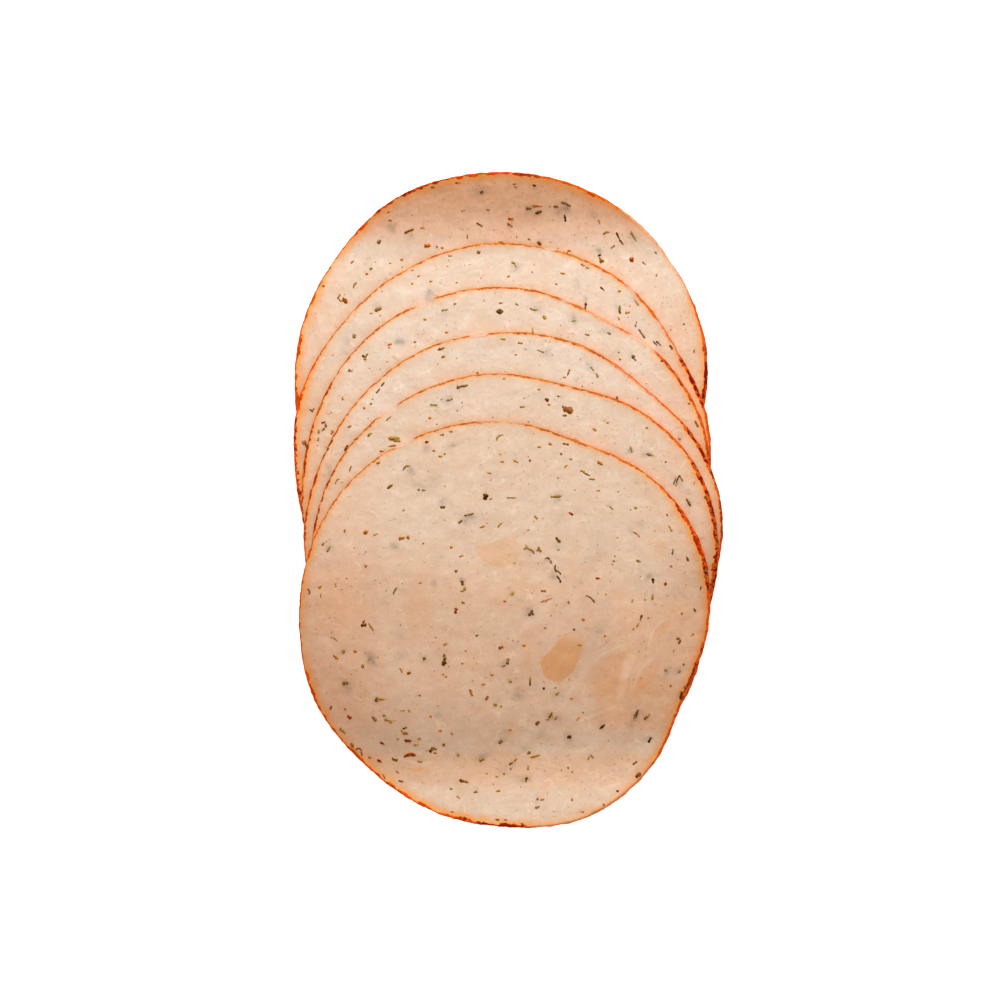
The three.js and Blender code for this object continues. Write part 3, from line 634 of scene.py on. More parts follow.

# Painted shade and painted light on some slices' flesh. deeperAndShaded darkens and warms it as painted shade
# where the drape slopes away from the light, at the front crease, on the curled back end and along the
# flanks, and partly as warmer meat near the right-hand rims. paintedLight lightens it as painted light where
# the drape's own shading comes out too dark. ruddier warms it. Each span of x or y, in mm, fades in between
# its first two numbers and out between its last two.
everywhere = (-200, -190, 190, 200)
shadesAndTints = [
    {"on": (6,), "x": (-200, -190, 26, 40), "y": (-72, -50, -22, -8), "deeperAndShaded": 0.35},
    {"on": (6,), "y": (-76, -69, -66, -62), "deeperAndShaded": 0.5},
    {"on": (6,), "x": (18, 24, 40, 48), "y": (-62, -56, -47, -42), "deeperAndShaded": 0.75},
    {"on": (6,), "x": (22, 32, 190, 200), "y": (-50, -40, -30, -20), "paintedLight": 0.9},
    {"on": (6,), "x": (-200, -190, -40, -28), "ruddier": 0.6},
    {"on": (1,), "y": (70, 80, 190, 200), "deeperAndShaded": 1.0},
    {"on": (1,), "y": (64, 70, 72, 80), "paintedLight": 0.45, "ruddier": 1.0},
    {"on": (1,), "x": (-200, -190, -46, -38), "ruddier": 0.5},
    {"on": (1, 2, 3, 4, 5), "x": (-200, -190, -52, -34), "y": (-6, 4, 28, 36), "deeperAndShaded": 0.5},
    {"on": (1, 2, 3, 4, 5, 6), "x": (30, 46, 190, 200), "y": (-62, -56, 50, 56), "deeperAndShaded": 0.35},
]


def within(value, span):
    return smooth(value, span[0], span[1]) * (1 - smooth(value, span[2], span[3]))


def shadeAndTintField(layer, x, y):  # how much painted shade, painted light and ruddier tint the flesh takes, each from 0 to 1
    total = np.zeros((len(x), 3))
    for tint in shadesAndTints:
        if layer + 1 not in tint["on"]:
            continue
        share = within(x, tint.get("x", everywhere)) * within(y, tint.get("y", everywhere))
        for place, way in enumerate(("deeperAndShaded", "paintedLight", "ruddier")):
            total[:, place] = np.maximum(total[:, place], share * tint.get(way, 0))
    return total


# Takes one copy of the slab to its own outline, place and drape, and notes on its points what the meat
# and the skin look like there.
def layDown(slabPiece, layer):
    lay = laid[layer]
    look = rims[lay["node"]]
    deselectAll()
    slabPiece.select_set(True)
    bpy.context.view_layer.objects.active = slabPiece
    bpy.ops.object.duplicate()
    piece = bpy.context.object
    piece.name = f"turkeySlice{layer + 1}"
    mesh = piece.data
    mesh.name = piece.name
    flat = readPoints(mesh) / mm
    heading = np.arctan2(flat[:, 1], flat[:, 0])
    share = np.minimum(np.hypot(flat[:, 0], flat[:, 1]) / slab["radius"], 1)
    rim = rimRadius(lay, heading)
    fromRim = (1 - share) * rim
    past, start = seamDistance(lay, heading), loaf["seamStart"]
    dent = look["dent"] * smooth(past, -start, start) * (1 - smooth(past, start, loaf["seamRun"]))
    uncut = heading - math.radians(lay["turn"])
    depth = flat[:, 2] + slab["apart"] * layer
    inLoaf = np.stack([share * rim * np.cos(uncut), share * rim * np.sin(uncut), depth], 1)
    wander = slab["ragged"] * noiseMix(inLoaf, slab["raggedMix"])
    radius = share * rim + np.exp(-fromRim / slab["raggedDepth"]) * (wander - dent)
    level = flat[:, 2] / slab["thickness"]
    x = lay["x"] + radius * np.cos(heading) + loaf["slant"][0] * share * (0.5 - level)
    y = lay["y"] + radius * np.sin(heading) + loaf["slant"][1] * share * (0.5 - level)
    uneven = level * relief(layer, x, y, 1) + (1 - level) * relief(layer, x, y, 0)
    z = underside(layer, x, y) + flat[:, 2] + uneven
    writePoints(mesh, np.stack([x, y, z], 1) * mm)
    wall = (1 - smooth(fromRim, *slab["wallIn"])) * (1 - smooth(level, *slab["wallUp"]))
    wallSeen = smooth(np.cos(heading), *slab["wallSeen"])  # at the right, through the slant
    wallHidden = smooth(-np.cos(heading + math.pi / 4), *slab["wallHidden"])  # at the back and the left
    upper = level > 0.5
    front = upper & (layer == len(laid) - 1)
    edge, tan, fibres = pieceField(x, y)
    strands, paleness = strandField(x, y)
    numbers = {
        "fromRim": fromRim, "inLoaf": inLoaf, "rimThin": rimThinness(lay, heading),
        "rimThick": arcs(heading, look["thick"]) - skin["thinner"] * wallSeen,
        "rimShadeAndChar": arcs(heading, look["dark"]), "rimGlow": arcs(heading, look["glow"], rimSoft["glowEnds"]),
        "wall": wall * (1 - wallHidden), "backWall": wall * wallHidden,
        "herbShadow": np.where(upper, shadowField(layer, x, y, 1), shadowField(layer, x, y, 0)),
        "pieceEdge": np.where(front, edge, 9), "pieceTan": np.where(front, tan, 0), "fibres": fibres,
        "strand": strands, "strandTone": np.where(front, paleness, 0), "shadesAndTints": shadeAndTintField(layer, x, y),
        "rimSideTint": rimSideTintField(layer, x, y) * upper, "pallor": np.full(len(x), pallor[layer]),
    }
    for name, values in numbers.items():
        addNumbers(mesh, name, values)
    bpy.ops.object.shade_smooth_by_angle(angle=math.radians(slab["shadeAngle"]))
    return piece


# Node helpers: the first gives back its node, and the others the output of the last node that they add.
def addNode(tree, kind, inputs=None, **settings):
    made = tree.nodes.new(kind)
    for name, value in settings.items():
        setattr(made, name, value)
    for name, value in (inputs or {}).items():
        if isinstance(value, bpy.types.NodeSocket):
            tree.links.new(value, made.inputs[name])
        else:
            made.inputs[name].default_value = value
    return made


def readNumber(tree, name, output="Fac"):
    made = addNode(tree, "ShaderNodeAttribute", attribute_name=name, attribute_type="GEOMETRY")
    return made.outputs[output]


def compute(tree, how, first, second=0.0, clamp=False):
    made = addNode(tree, "ShaderNodeMath", {0: first, 1: second}, operation=how, use_clamp=clamp)
    return made.outputs["Value"]


def times(tree, first, second):
    return compute(tree, "MULTIPLY", first, second)


def plus(tree, first, second):
    return compute(tree, "ADD", first, second)


def plusTimes(tree, start, by, value):
    return plus(tree, start, times(tree, value, by))


def weigh(tree, shares, first, second):
    return plus(tree, times(tree, first, shares[0]), times(tree, second, shares[1]))


def clamped(tree, value, sign=1.0):  # the part of a value that has this sign, from 0 to 1
    return compute(tree, "MULTIPLY", value, sign, True)


def remap(tree, value, low, high, toLow=0.0, toHigh=1.0):
    made = addNode(tree, "ShaderNodeMapRange", {
        "Value": value, "From Min": low, "From Max": high, "To Min": toLow, "To Max": toHigh},
        interpolation_type="SMOOTHSTEP")
    return made.outputs["Result"]


def onVector(tree, how, first, second):
    made = addNode(tree, "ShaderNodeVectorMath", {0: first, 1: second}, operation=how)
    return made.outputs["Vector"]


def splitVector(tree, name):
    parts = addNode(tree, "ShaderNodeSeparateXYZ", {0: readNumber(tree, name, "Vector")})
    return [parts.outputs[axis] for axis in "XYZ"]


def blend(tree, share, first, second, how="MIX"):  # 6, 7 and 2 are the sockets that take and give colours
    made = addNode(tree, "ShaderNodeMix", {0: share, 6: first, 7: second}, data_type="RGBA", blend_type=how)
    return made.outputs[2]


def wash(tree, share, colour, name):
    return blend(tree, share, colour, washes[name], "MULTIPLY")


def lumps(tree, place, size, detail=2.0, rough=0.5):  # noise with lumps of this size in mm
    made = addNode(tree, "ShaderNodeTexNoise", {
        "Vector": place, "Scale": 1 / size, "Detail": detail, "Roughness": rough})
    return made.outputs["Fac"]


def pattern(tree, place, name):
    size, detail, rough, *span = patterns[name]
    return remap(tree, lumps(tree, place, size, detail, rough), *span)


def waver(tree, place, size, detail, far):  # noise about nothing, up to half of far either way
    return times(tree, plus(tree, lumps(tree, place, size, detail), -0.5), far)


def warped(tree, place, size, far):  # the place pushed about by noise, in mm
    push = addNode(tree, "ShaderNodeTexNoise", {"Vector": place, "Scale": 1 / size, "Detail": 2.0})
    centred = onVector(tree, "SUBTRACT", push.outputs["Color"], (0.5, 0.5, 0.5))
    return onVector(tree, "ADD", place, onVector(tree, "MULTIPLY", centred, (far, far, 0)))


def newMaterial(name, settings):
    material = bpy.data.materials.new(name)
    material.use_nodes = True
    tree = material.node_tree
    tree.nodes.clear()
    shader = addNode(tree, "ShaderNodeBsdfPrincipled", settings)
    output = addNode(tree, "ShaderNodeOutputMaterial")
    tree.links.new(shader.outputs["BSDF"], output.inputs["Surface"])
    return material, tree, shader


# The meat. A warp is its size and reach, in mm. Other pairs say between which values a thing comes in, and
# two more numbers say from which share to which.
meat = {
    "paste": (0.85, 0.626, 0.465, 1), "pale": (0.885, 0.676, 0.522, 1), "fleshy": (0.78, 0.51, 0.335, 1),
    "tan": (0.84, 0.45, 0.21, 1), "grey": (0.72, 0.53, 0.40, 1), "strand": (0.98, 0.73, 0.545, 1),
    "fleshShares": {"middle": 0.3, "streaks": 0.28, "fine": 0.4},  # how fleshy each mottling makes it
    "streakWarp": (7, 4), "streakShape": (0.65, 1.3, 1), "grainWarp": (3, 1),
    "cell": 9.5, "cellWarp": (9, 3.5), "cellEdge": (0.55, 0.4),  # vague pieces of muscle
    "tanCells": (0.68, 0.95, 0, 0.15), "greyCells": (0.7, 0.95, 0, 0.2),
    "threadWarp": (5, 2.5), "threadSize": 6, "threadWide": (0.004, 0.02, 1, 0),
    "pieceRagged": (1.6, 3, 1.2), "pieceEdge": (0.35, -0.9),  # size, detail and reach of its wavering edge
    "strandWavers": 0.2, "strandEdge": (0.3, 1.1, 1, 0), "strandReach": (0.5, 1.0, 1, 0),
    "pitEvery": 6.5, "pitSize": 0.3, "pitShare": (0.45, 0.75),  # spacing and radius in mm, and how many
    "bumps": (0.7, 4, 0.6), "bumpStrength": 0.3, "bumpDepth": 0.0001,
    "shader": {
        "Roughness": 0.6, "Specular IOR Level": 0.01, "Subsurface Weight": 0.06,
        "Subsurface Radius": (1.0, 0.45, 0.25), "Subsurface Scale": 0.0008},
}
washes = {  # these multiply the colour below them
    "rosy": (1.015, 0.96, 0.955, 1), "creamy": (0.995, 1.0, 0.935, 1), "pitShade": (0.86, 0.70, 0.62, 1),
    # deeperAndShaded is painted shade, partly warmer meat; paintedLight is painted light
    "deeperAndShaded": (1.03, 0.78, 0.60, 1), "paintedLight": (1.17, 1.08, 1.02, 1), "ruddier": (1.05, 0.93, 0.87, 1),
    "paler": (1.02, 1.10, 1.20, 1), "herbShadow": (0.46, 0.50, 0.55, 1), "dust": (0.84, 0.81, 0.74, 1),
    # bareEdgeShade is painted shade on bare rounded rim edges
    "halo": (1.0, 0.80, 0.62, 1), "bareEdgeShade": (0.86, 0.74, 0.62, 1), "rimSideTint": (1.0, 0.85, 0.58, 1),
}
# Mottling: size of the lumps in mm, detail, roughness, and between which values of the noise it comes in.
# It goes from 0 to 1, or where there are seven numbers, from the sixth to the seventh.
patterns = {
    "broad": (14, 2, 0.5, 0.35, 0.65), "middle": (3.2, 3, 0.5, 0.36, 0.66),
    "streaks": (1.5, 3, 0.6, 0.38, 0.66), "fine": (0.7, 3, 0.6, 0.35, 0.7),
    "rosy": (2.6, 4, 0.65, 0.46, 0.66), "creamy": (1.2, 3, 0.6, 0.46, 0.66),
    "threads": (4.5, 2, 0.5, 0.5, 0.64, 0, 0.6), "dust": (1.1, 2, 0.5, 0.63, 0.74),
    "grains": (1.2, 2, 0.5, 0.64, 0.74, 0, 0.5), "fibres": (1.0, 3, 0.6, 0.3, 0.7, 0.74, 1.1),
    "smears": (1.1, 3, 0.6, 0.3, 0.7, 0.6, 1.2), "blotches": (2.6, 2, 0.6, 0.4, 0.62),
}


# Muscle and paste: broad, middle and fine mottling, then the pieces of muscle with their fibres and strands.
def fleshColour(tree, place):
    colour = blend(tree, pattern(tree, place, "broad"), meat["paste"], meat["pale"])
    streaky = onVector(tree, "MULTIPLY", warped(tree, place, *meat["streakWarp"]), meat["streakShape"])
    for name, share in meat["fleshShares"].items():
        mottled = pattern(tree, streaky if name == "streaks" else place, name)
        colour = blend(tree, times(tree, mottled, share), colour, meat["fleshy"])
    for name in ("rosy", "creamy"):
        colour = wash(tree, pattern(tree, place, name), colour, name)
    colour = muscleCells(tree, place, colour)
    colour = filaments(tree, place, colour)
    colour = faintSpecks(tree, place, colour)
    colour = muscleColour(tree, place, colour)
    return wash(tree, pitShare(tree, place), colour, "pitShade")


def muscleCells(tree, place, colour):  # vague pieces everywhere, some tan and some grey
    cells = addNode(tree, "ShaderNodeTexVoronoi", {
        "Vector": warped(tree, place, *meat["cellWarp"]), "Scale": 1 / meat["cell"]})
    shade = addNode(tree, "ShaderNodeSeparateColor", {"Color": cells.outputs["Color"]})
    inside = remap(tree, cells.outputs["Distance"], *meat["cellEdge"])
    tanCell = times(tree, inside, remap(tree, shade.outputs["Red"], *meat["tanCells"]))
    colour = blend(tree, tanCell, colour, meat["tan"])
    greyCell = times(tree, inside, remap(tree, shade.outputs["Green"], *meat["greyCells"]))
    return blend(tree, greyCell, colour, meat["grey"])


def filaments(tree, place, colour):  # faint pale threads, here and there
    winding = waver(tree, warped(tree, place, *meat["threadWarp"]), meat["threadSize"], 2, 1.0)
    thread = remap(tree, compute(tree, "ABSOLUTE", winding), *meat["threadWide"])
    return blend(tree, times(tree, thread, pattern(tree, place, "threads")), colour, meat["strand"])


def faintSpecks(tree, place, colour):  # herb dust just under the face, and pale grains of fat
    colour = wash(tree, pattern(tree, place, "dust"), colour, "dust")
    grains = pattern(tree, warped(tree, place, *meat["grainWarp"]), "grains")
    return blend(tree, grains, colour, meat["strand"])


def muscleColour(tree, place, colour):  # the front slice's own pieces
    ragged = waver(tree, place, *meat["pieceRagged"])
    edge = plus(tree, readNumber(tree, "pieceEdge"), ragged)
    tan = times(tree, remap(tree, edge, *meat["pieceEdge"]), readNumber(tree, "pieceTan"))
    fibres = pattern(tree, readNumber(tree, "fibres", "Vector"), "fibres")
    for sign, name in ((1.0, "tan"), (-1.0, "grey")):
        colour = blend(tree, times(tree, clamped(tree, tan, sign), fibres), colour, meat[name])
    aside, away, wide = splitVector(tree, "strand")
    aside = plusTimes(tree, aside, meat["strandWavers"], ragged)
    off = compute(tree, "DIVIDE", compute(tree, "ABSOLUTE", aside), wide)
    near = remap(tree, compute(tree, "SUBTRACT", away, wide), *meat["strandReach"])
    share = times(tree, remap(tree, off, *meat["strandEdge"]), near)
    share = times(tree, share, readNumber(tree, "strandTone"))
    for sign, name in ((1.0, "strand"), (-1.0, "tan")):
        colour = blend(tree, clamped(tree, share, sign), colour, meat[name])
    return colour


def pitShare(tree, place):  # painted shade of small pits, in some of the cells of a loose pattern
    cells = addNode(tree, "ShaderNodeTexVoronoi", {
        "Vector": place, "Scale": 1 / meat["pitEvery"]}, voronoi_dimensions="2D")
    shade = addNode(tree, "ShaderNodeSeparateColor", {"Color": cells.outputs["Color"]})
    away = times(tree, cells.outputs["Distance"], meat["pitEvery"])
    inside = remap(tree, away, meat["pitSize"], 0.4 * meat["pitSize"])
    return times(tree, inside, remap(tree, shade.outputs["Blue"], *meat["pitShare"]))


# The skin's colours and measures, in mm. Of a pair, the first is the start and the second what the blotches,
# the dark stretches or the glow add to it, and four numbers are as in the meat.
skin = {
    "brown": (0.55, 0.150, 0.012, 1), "vivid": (1.0, 0.10, 0.001, 1), "wall": (0.76, 0.080, 0.001, 1),
    "backWall": (0.32, 0.12, 0.04, 1),  # duller, so that it throws no red light on the slice behind it
    # charredAndShaded, where the rim is dark, is partly charred skin and partly painted shade
    "burnt": (0.36, 0.012, 0.0005, 1), "charredAndShaded": (0.25, 0.004, 0.0003, 1), "glow": (1.0, 0.38, 0.08, 1),
    "bareKeeps": 0.12, "wallKeeps": 0.25, "backWallKeeps": 0.6,  # skin left in bare stretches, and on walls
    "line": 0.41, "lineBlotches": (0.8, 0.4),  # its thickness seen edge on
    "thick": 0.42, "thickBlotches": (0.45, 1.1),  # and what a thick stretch adds
    "thinner": 0.55,  # where the slant shows the wall, the line on the face is less thick by this
    "ragged": (0.8, 3, 0.7), "edge": (-0.12, 0.12, 1, 0),  # size, detail and reach of its wavering edge
    "soakWavers": (4, 2, 3.0), "soak": (0.0, 3.2, 0.8, 0),  # how far its colour soaks into the meat
    "near": (-0.1, 1.0, 0.9, 0), "nearWavers": 0.15, "nearReach": (0.85, 1.0),  # and the strongest of it
    "soakBy": (0.5, 0.7), "nearBy": (0.7, 0.3),  # by how much skin is kept, and by the glow
    "bareReach": (0.1, 1.0, 1, 0), "wallShare": (0.8, -0.4), "rimSideTintReach": 0.7,
    "patches": (1.4, 3, 0.65), "patchEdge": (0.48, 0.58), "patchBlotches": 0.1,  # burnt ones, and their edge
    "patchDark": 0.1, "burntDark": (0.5, 0.6), "burntGlow": (1.0, -0.2),
}


# The spiced skin: a thin brown-orange line with burnt patches, thicker and darker or more vivid along some
# stretches, the darker stretches partly painted shade on rims that face away from the light, and its colour
# soaks into the meat beside it.
def skinColour(tree, place, colour):
    names = ("fromRim", "rimThin", "rimThick", "rimShadeAndChar", "rimGlow", "wall", "backWall")
    fromRim, thin, thick, dark, glow, wall, backWall = (readNumber(tree, name) for name in names)
    colour = wash(tree, readNumber(tree, "rimSideTint"), colour, "rimSideTint")
    kept = remap(tree, thin, 0, 1, 1, skin["bareKeeps"])
    kept = plusTimes(tree, kept, skin["wallKeeps"], wall)
    kept = plusTimes(tree, kept, skin["backWallKeeps"], backWall)
    ragged = waver(tree, place, *skin["ragged"])
    blotches = pattern(tree, place, "blotches")
    grown = times(tree, thick, plusTimes(tree, *skin["thickBlotches"], blotches))
    line = times(tree, skin["line"], plusTimes(tree, *skin["lineBlotches"], blotches))
    line = plusTimes(tree, line, skin["thick"], grown)
    past = compute(tree, "SUBTRACT", plus(tree, fromRim, ragged), line)
    edge = clamped(tree, times(tree, remap(tree, past, *skin["edge"]), kept))
    wide = waver(tree, place, *skin["soakWavers"])
    soak = remap(tree, plus(tree, past, wide), *skin["soak"])
    soak = times(tree, soak, weigh(tree, skin["soakBy"], kept, glow))
    colour = wash(tree, clamped(tree, soak), colour, "halo")
    reach = plusTimes(tree, *skin["nearReach"], glow)
    near = compute(tree, "DIVIDE", plusTimes(tree, past, skin["nearWavers"], wide), reach)
    near = times(tree, remap(tree, near, *skin["near"]), weigh(tree, skin["nearBy"], kept, glow))
    colour = blend(tree, near, colour, skin["glow"])
    # painted shade on the rounded edge where the skin is missing, so that it catches no more light than the
    # flesh beside it
    bareEdgeShade = times(tree, remap(tree, fromRim, *skin["bareReach"]), thin)
    colour = wash(tree, bareEdgeShade, colour, "bareEdgeShade")
    brown = blend(tree, glow, skin["brown"], skin["vivid"])
    brown = blend(tree, times(tree, wall, plusTimes(tree, *skin["wallShare"], glow)), brown, skin["wall"])
    brown = blend(tree, backWall, brown, skin["backWall"])
    patches = plusTimes(tree, lumps(tree, place, *skin["patches"]), skin["patchBlotches"], blotches)
    burnt = plusTimes(tree, remap(tree, patches, *skin["patchEdge"]), skin["patchDark"], dark)
    burnt = times(tree, burnt, plusTimes(tree, *skin["burntDark"], dark))
    burnt = times(tree, burnt, plusTimes(tree, *skin["burntGlow"], glow))
    # painted shade along the dark stretches of rim, mixed with charred skin
    charAndShade = blend(tree, dark, skin["burnt"], skin["charredAndShaded"])
    return blend(tree, edge, colour, blend(tree, clamped(tree, burnt), brown, charAndShade))


def meatMaterial():
    material, tree, shader = newMaterial("turkeyMeat", meat["shader"])
    place = readNumber(tree, "inLoaf", "Vector")
    colour = fleshColour(tree, place)
    # painted shade and painted light where the drape falls, and a ruddier tint
    for share, name in zip(splitVector(tree, "shadesAndTints"), ("deeperAndShaded", "paintedLight", "ruddier")):
        colour = wash(tree, share, colour, name)
    colour = wash(tree, readNumber(tree, "pallor"), colour, "paler")
    shadow = times(tree, readNumber(tree, "herbShadow"), pattern(tree, place, "smears"))
    colour = wash(tree, shadow, colour, "herbShadow")
    tree.links.new(skinColour(tree, place, colour), shader.inputs["Base Color"])
    bumps = addNode(tree, "ShaderNodeBump", {
        "Height": lumps(tree, place, *meat["bumps"]), "Strength": meat["bumpStrength"],
        "Distance": meat["bumpDepth"]})
    tree.links.new(bumps.outputs["Normal"], shader.inputs["Normal"])
    return material


print("slices")
slabPiece = modelSlab()
turkey = meatMaterial()
for layer in range(len(laid)):
    piece = layDown(slabPiece, layer)
    piece.data.materials.clear()
    piece.data.materials.append(turkey)
    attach(piece, "root")
    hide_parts(laid[layer]["node"])
bpy.data.objects.remove(slabPiece)


# Every fleck is a copy of the scrap's points or the crumb's.
scrap = {
    "around": 6, "rings": 7, "fuller": 1.12, "thick": 0.12, "proud": 0.02, "ragged": 0.45, "wriggle": 0.25,
    "bluntFrom": 0.3, "bluntTo": 0.99, "bluntBy": 1.25,  # rings at these heights are wider, for blunt ends
    "bendMiddle": 0.6,
}
crumb = {
    "around": 5, "rings": 3, "perFace": 320, "reach": 51, "length": (0.14, 0.36, 2), "slim": (0.55, 0.45, 1),
}


def modelScrap(name, size):  # longer than wide, with blunt ends
    deselectAll()
    bpy.ops.mesh.primitive_uv_sphere_add(
        segments=size["around"], ring_count=size["rings"], radius=1, location=(0, 0, 0))
    piece = bpy.context.object
    piece.name = name
    bpy.ops.object.mode_set(mode="EDIT")
    bpy.ops.mesh.select_all(action="DESELECT")
    bpy.ops.object.mode_set(mode="OBJECT")
    for vertex in piece.data.vertices:
        vertex.select = scrap["bluntFrom"] < abs(vertex.co.z) < scrap["bluntTo"]
    bpy.ops.object.mode_set(mode="EDIT")
    bpy.ops.transform.resize(value=(scrap["bluntBy"], scrap["bluntBy"], 1))
    bpy.ops.mesh.select_all(action="SELECT")
    bpy.ops.mesh.normals_make_consistent(inside=False)
    bpy.ops.object.mode_set(mode="OBJECT")
    points = readPoints(piece.data)
    faces = [tuple(face.vertices) for face in piece.data.polygons]
    bpy.data.objects.remove(piece)
    return points, faces


def faceLevel(layer, x, y, face):  # height of a slice's upper face, or of its underside
    rise = slab["thickness"] if face else 0
    return underside(layer, x, y) + rise + relief(layer, x, y, face)


# Lays copies of a scrap on one face: each row is x, y, heading, length, width and bend.
def scatterScraps(base, rows, layer, face, draw):
    points, faces = base
    count, each = len(rows), len(points)
    stations = np.unique(np.round(points[:, 2], 4))
    station = np.searchsorted(stations, np.round(points[:, 2], 4))
    widths = 1 + scrap["ragged"] * (draw.random((count, len(stations))) - 0.5) * 2
    offsets = scrap["wriggle"] * (draw.random((count, len(stations))) - 0.5)
    along = points[None, :, 2] * rows[:, 3:4] / 2
    across = points[None, :, 0] * widths[:, station] + offsets[:, station]
    across = across * rows[:, 4:5] * scrap["fuller"] / 2
    across = across + rows[:, 5:6] * (scrap["bendMiddle"] - points[None, :, 2] ** 2)
    up = points[None, :, 1] * scrap["thick"] / 2
    turn = np.radians(rows[:, 2:3])
    x = rows[:, 0:1] + along * np.cos(turn) - across * np.sin(turn)
    y = rows[:, 1:2] + along * np.sin(turn) + across * np.cos(turn)
    level = faceLevel(layer, x.ravel(), y.ravel(), face).reshape(count, each)
    outward = 1 if face else -1
    z = level + outward * scrap["proud"] + up
    placed = np.stack([x, y, z], 2).reshape(-1, 3)
    joined = [tuple(v + each * k for v in ring) for k in range(count) for ring in faces]
    tone = np.repeat(draw.random(count), each)
    lengthwise = np.tile((points[:, 2] + 1) / 2, count)
    return placed, joined, tone, lengthwise


# The kinds of fleck: what each is made of, how dark its lists are, and how many more a whole face carries.
kinds = {
    "driedHerbs": {
        "slot": "dried_herb", "lists": {"leaf": (0.1, 0.6), "olive": (0.5, 1.0)}, "more": 120, "crumbs": 0.5,
        "colours": [(0.090, 0.028, 0.0005, 1), (0.270, 0.098, 0.002, 1), (0.450, 0.255, 0.040, 1)],
        "rough": 0.6,
    },
    "seeds": {
        "slot": "seed", "lists": {"seed": (0.1, 0.6), "gold": (0.6, 1.0)}, "more": 45, "crumbs": 0.22,
        "colours": [(0.250, 0.042, 0.0005, 1), (0.420, 0.128, 0.004, 1), (0.620, 0.270, 0.030, 1)],
        "rough": 0.45,
    },
    "paprika": {
        "slot": "paprika", "lists": {"red": (0.0, 1.0)}, "more": 38, "crumbs": 0.2,
        "colours": [(0.180, 0.022, 0.0005, 1), (0.400, 0.066, 0.001, 1), (0.700, 0.200, 0.012, 1)],
        "rough": 0.45,
    },
    "pepper": {
        "slot": "pepper", "lists": {"black": (0.0, 0.8)}, "more": 16, "crumbs": 0.08,
        "colours": [(0.050, 0.010, 0.0005, 1), (0.110, 0.026, 0.0005, 1), (0.300, 0.120, 0.008, 1)],
        "rough": 0.55,
    },
}
fleckLook = {
    "seed": 700,
    "speckle": 0.5, "contrast": 2.4,  # patches of lighter and darker within a fleck: size in mm and strength
    "film": (0.78, 0.50, 0.28, 1), "filmUpTo": 0.2,  # a film of meat over the ones that lie a little deeper
    "filmDraw": (2.5, -1.5),  # which leaves most of them clear
    "margin": 0.6,  # they keep this far inside the rim
    "crumbTones": (0.35, 1.1), "crumbFilm": 0.6, "gloss": 0.01,
    "small": (0.7, 1.7), "smallLighter": 0.55,  # flecks between these lengths and shorter are lighter
    "endLighter": 0.5,  # and each is lighter towards one end
    "reach": 50.5, "length": (0.5, 2.1, 2.2), "width": (0.32, 0.4, 1.5),  # of those that aren't listed
    "bent": 0.2, "bend": 0.5,  # and the share of them that bend, and by how much of their length
}


def fleckMaterial(name, kind):
    material, tree, shader = newMaterial(name, {
        "Roughness": kind["rough"], "Specular IOR Level": fleckLook["gloss"]})
    place = addNode(tree, "ShaderNodeTexCoord").outputs["Object"]
    speckle = waver(tree, place, fleckLook["speckle"] * mm, 2, fleckLook["contrast"])
    mixed = plus(tree, readNumber(tree, "tone"), speckle)
    low, middle, high = kind["colours"]
    colour = blend(tree, remap(tree, mixed, 0.0, 0.5), low, middle)
    colour = blend(tree, remap(tree, mixed, 0.5, 1.0), colour, high)
    colour = blend(tree, readNumber(tree, "film"), colour, fleckLook["film"])
    tree.links.new(colour, shader.inputs["Base Color"])
    return material


def moreRows(draw, layer, face, count):  # flecks where no listed one lies: hidden places and undersides
    x, y = somewhere(draw, laid[layer], fleckLook["reach"], count)
    length, width = (between(draw, fleckLook[name], count) for name in ("length", "width"))
    bent = draw.random(count) < fleckLook["bent"]
    bend = np.where(bent, (draw.random(count) - 0.5) * length * fleckLook["bend"], 0)
    rows = np.stack([x, y, draw.random(count) * 180, length, width, bend], 1)
    return rows[covered(layer, x, y)] if face else rows


def crumbRows(draw, layer, count):
    x, y = somewhere(draw, laid[layer], crumb["reach"], count)
    length = between(draw, crumb["length"], count)
    width = length * between(draw, crumb["slim"], count)
    return np.stack([x, y, draw.random(count) * 180, length, width, np.zeros(count)], 1)


def onFace(rows, layer):  # leaves out what would reach over the slice's own rim
    lay = laid[layer]
    inward = fleckLook["margin"] + rims[lay["node"]]["dent"]
    return rows[pastRim(lay, rows[:, 0], rows[:, 1]) < -inward]


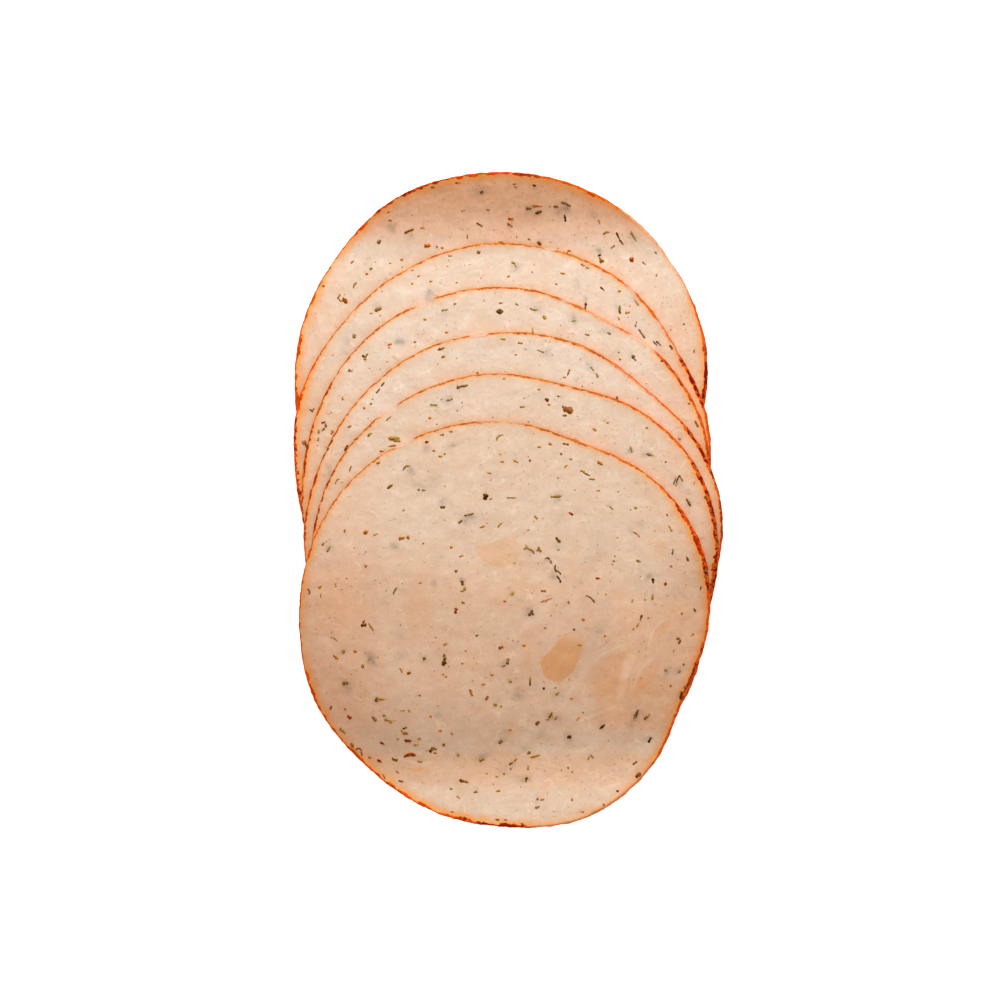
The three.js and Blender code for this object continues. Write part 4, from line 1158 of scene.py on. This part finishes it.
def makeFlecks(name, kind, seed):
    draw = np.random.default_rng(seed)
    batches = []
    for listName, span in kind["lists"].items():
        listed = np.array([row if len(row) == 6 else (*row, 0) for row in flecks[listName]])
        layers = topLayer(listed[:, 0], listed[:, 1])
        for layer in range(len(laid)):
            batches.append((scrapBase, listed[layers == layer], layer, 1, span))
    for layer in range(len(laid)):
        for face in (0, 1):
            more = onFace(moreRows(draw, layer, face, kind["more"]), layer)
            batches.append((scrapBase, more, layer, face, (0, 1)))
            small = onFace(crumbRows(draw, layer, int(crumb["perFace"] * kind["crumbs"])), layer)
            batches.append((crumbBase, small, layer, face, fleckLook["crumbTones"]))
    points, faces, tones, films = [], [], [], []
    for base, rows, layer, face, span in batches:
        if not len(rows):
            continue
        placed, joined, tone, lengthwise = scatterScraps(base, rows, layer, face, draw)
        start = sum(len(batch) for batch in points)
        faces += [tuple(v + start for v in ring) for ring in joined]
        points.append(placed)
        lighter = fleckLook["smallLighter"] * (1 - smooth(rows[:, 3], *fleckLook["small"]))
        tone = tone + np.repeat(lighter, len(base[0]))
        tones.append(span[0] + (span[1] - span[0]) * tone + fleckLook["endLighter"] * (lengthwise - 0.5))
        grow, shift = fleckLook["filmDraw"]
        film = fleckLook["filmUpTo"] * np.clip(draw.random(len(rows)) * grow + shift, 0, 1)
        if base is crumbBase:
            film = fleckLook["crumbFilm"] * draw.random(len(rows))
        films.append(np.repeat(film, len(base[0])))
    mesh = bpy.data.meshes.new(name)
    mesh.from_pydata((np.concatenate(points) * mm).tolist(), [], faces)
    mesh.update()
    addNumbers(mesh, "tone", np.concatenate(tones))
    addNumbers(mesh, "film", np.concatenate(films))
    piece = bpy.data.objects.new(name, mesh)
    bpy.context.collection.objects.link(piece)
    mesh.shade_smooth()
    mesh.materials.append(fleckMaterial(name, kind))
    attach(piece, "root")
    return piece


print("flecks")
scrapBase = modelScrap("herbScrap", scrap)
crumbBase = modelScrap("crumb", crumb)
for place, (name, kind) in enumerate(kinds.items()):
    piece = makeFlecks(name, kind, fleckLook["seed"] + place)
    print(f"  {name}: {len(piece.data.polygons)} faces")


print("floor, light and camera")
stageLook = {
    "size": 3.0, "below": 0.0001,
    "shader": {  # a light table, so that shadows stay pale
        "Base Color": (0.95, 0.95, 0.95, 1), "Roughness": 0.9,
        "Emission Color": (1, 1, 1, 1), "Emission Strength": 0.75},
}


def makeFloor():
    deselectAll()
    bpy.ops.mesh.primitive_plane_add(size=stageLook["size"], location=(0, 0, -stageLook["below"]))
    floor = bpy.context.object
    floor.name = "paleFloor"
    floor.data.materials.append(newMaterial("paleFloor", stageLook["shader"])[0])


lights = {
    "key": {"from": (-0.033, 0.617, 0.26), "size": 0.2, "power": 6.6, "tint": (0.80, 0.92, 1.0)},
    "sky": 0.50, "skyTint": (1.0, 0.89, 0.80, 1),  # pale walls all round
}


def makeLights():
    deselectAll()
    key = lights["key"]
    bpy.ops.object.light_add(type="AREA", location=key["from"])
    lamp = bpy.context.object
    lamp.name = "keyLight"
    lamp.data.shape = "DISK"
    lamp.data.size = key["size"]
    lamp.data.energy = key["power"]
    lamp.data.color = key["tint"]
    lamp.rotation_euler = (Vector((0, 0, 0)) - Vector(key["from"])).to_track_quat("-Z", "Y").to_euler()
    world = bpy.data.worlds.new("studio")
    world.use_nodes = True
    world.node_tree.nodes["Background"].inputs["Color"].default_value = lights["skyTint"]
    world.node_tree.nodes["Background"].inputs["Strength"].default_value = lights["sky"]
    bpy.context.scene.world = world


# The photo looks straight down, so that its 1000 pixels span 255 mm of the table.
view = {"span": 0.255, "distance": 1.2, "middle": (-0.00224, 0.00028), "level": 0.006, "sensor": 36.0}


def makeCamera():
    deselectAll()
    middle = view["middle"]
    bpy.ops.object.camera_add(location=(*middle, view["distance"] + view["level"]), rotation=(0, 0, 0))
    camera = bpy.context.object
    camera.data.sensor_width = view["sensor"]
    camera.data.lens = view["sensor"] * view["distance"] / view["span"]
    camera.data.clip_end = 10
    bpy.context.scene.camera = camera


makeFloor()
makeLights()
makeCamera()
bpy.context.scene.view_settings.view_transform = "Standard"
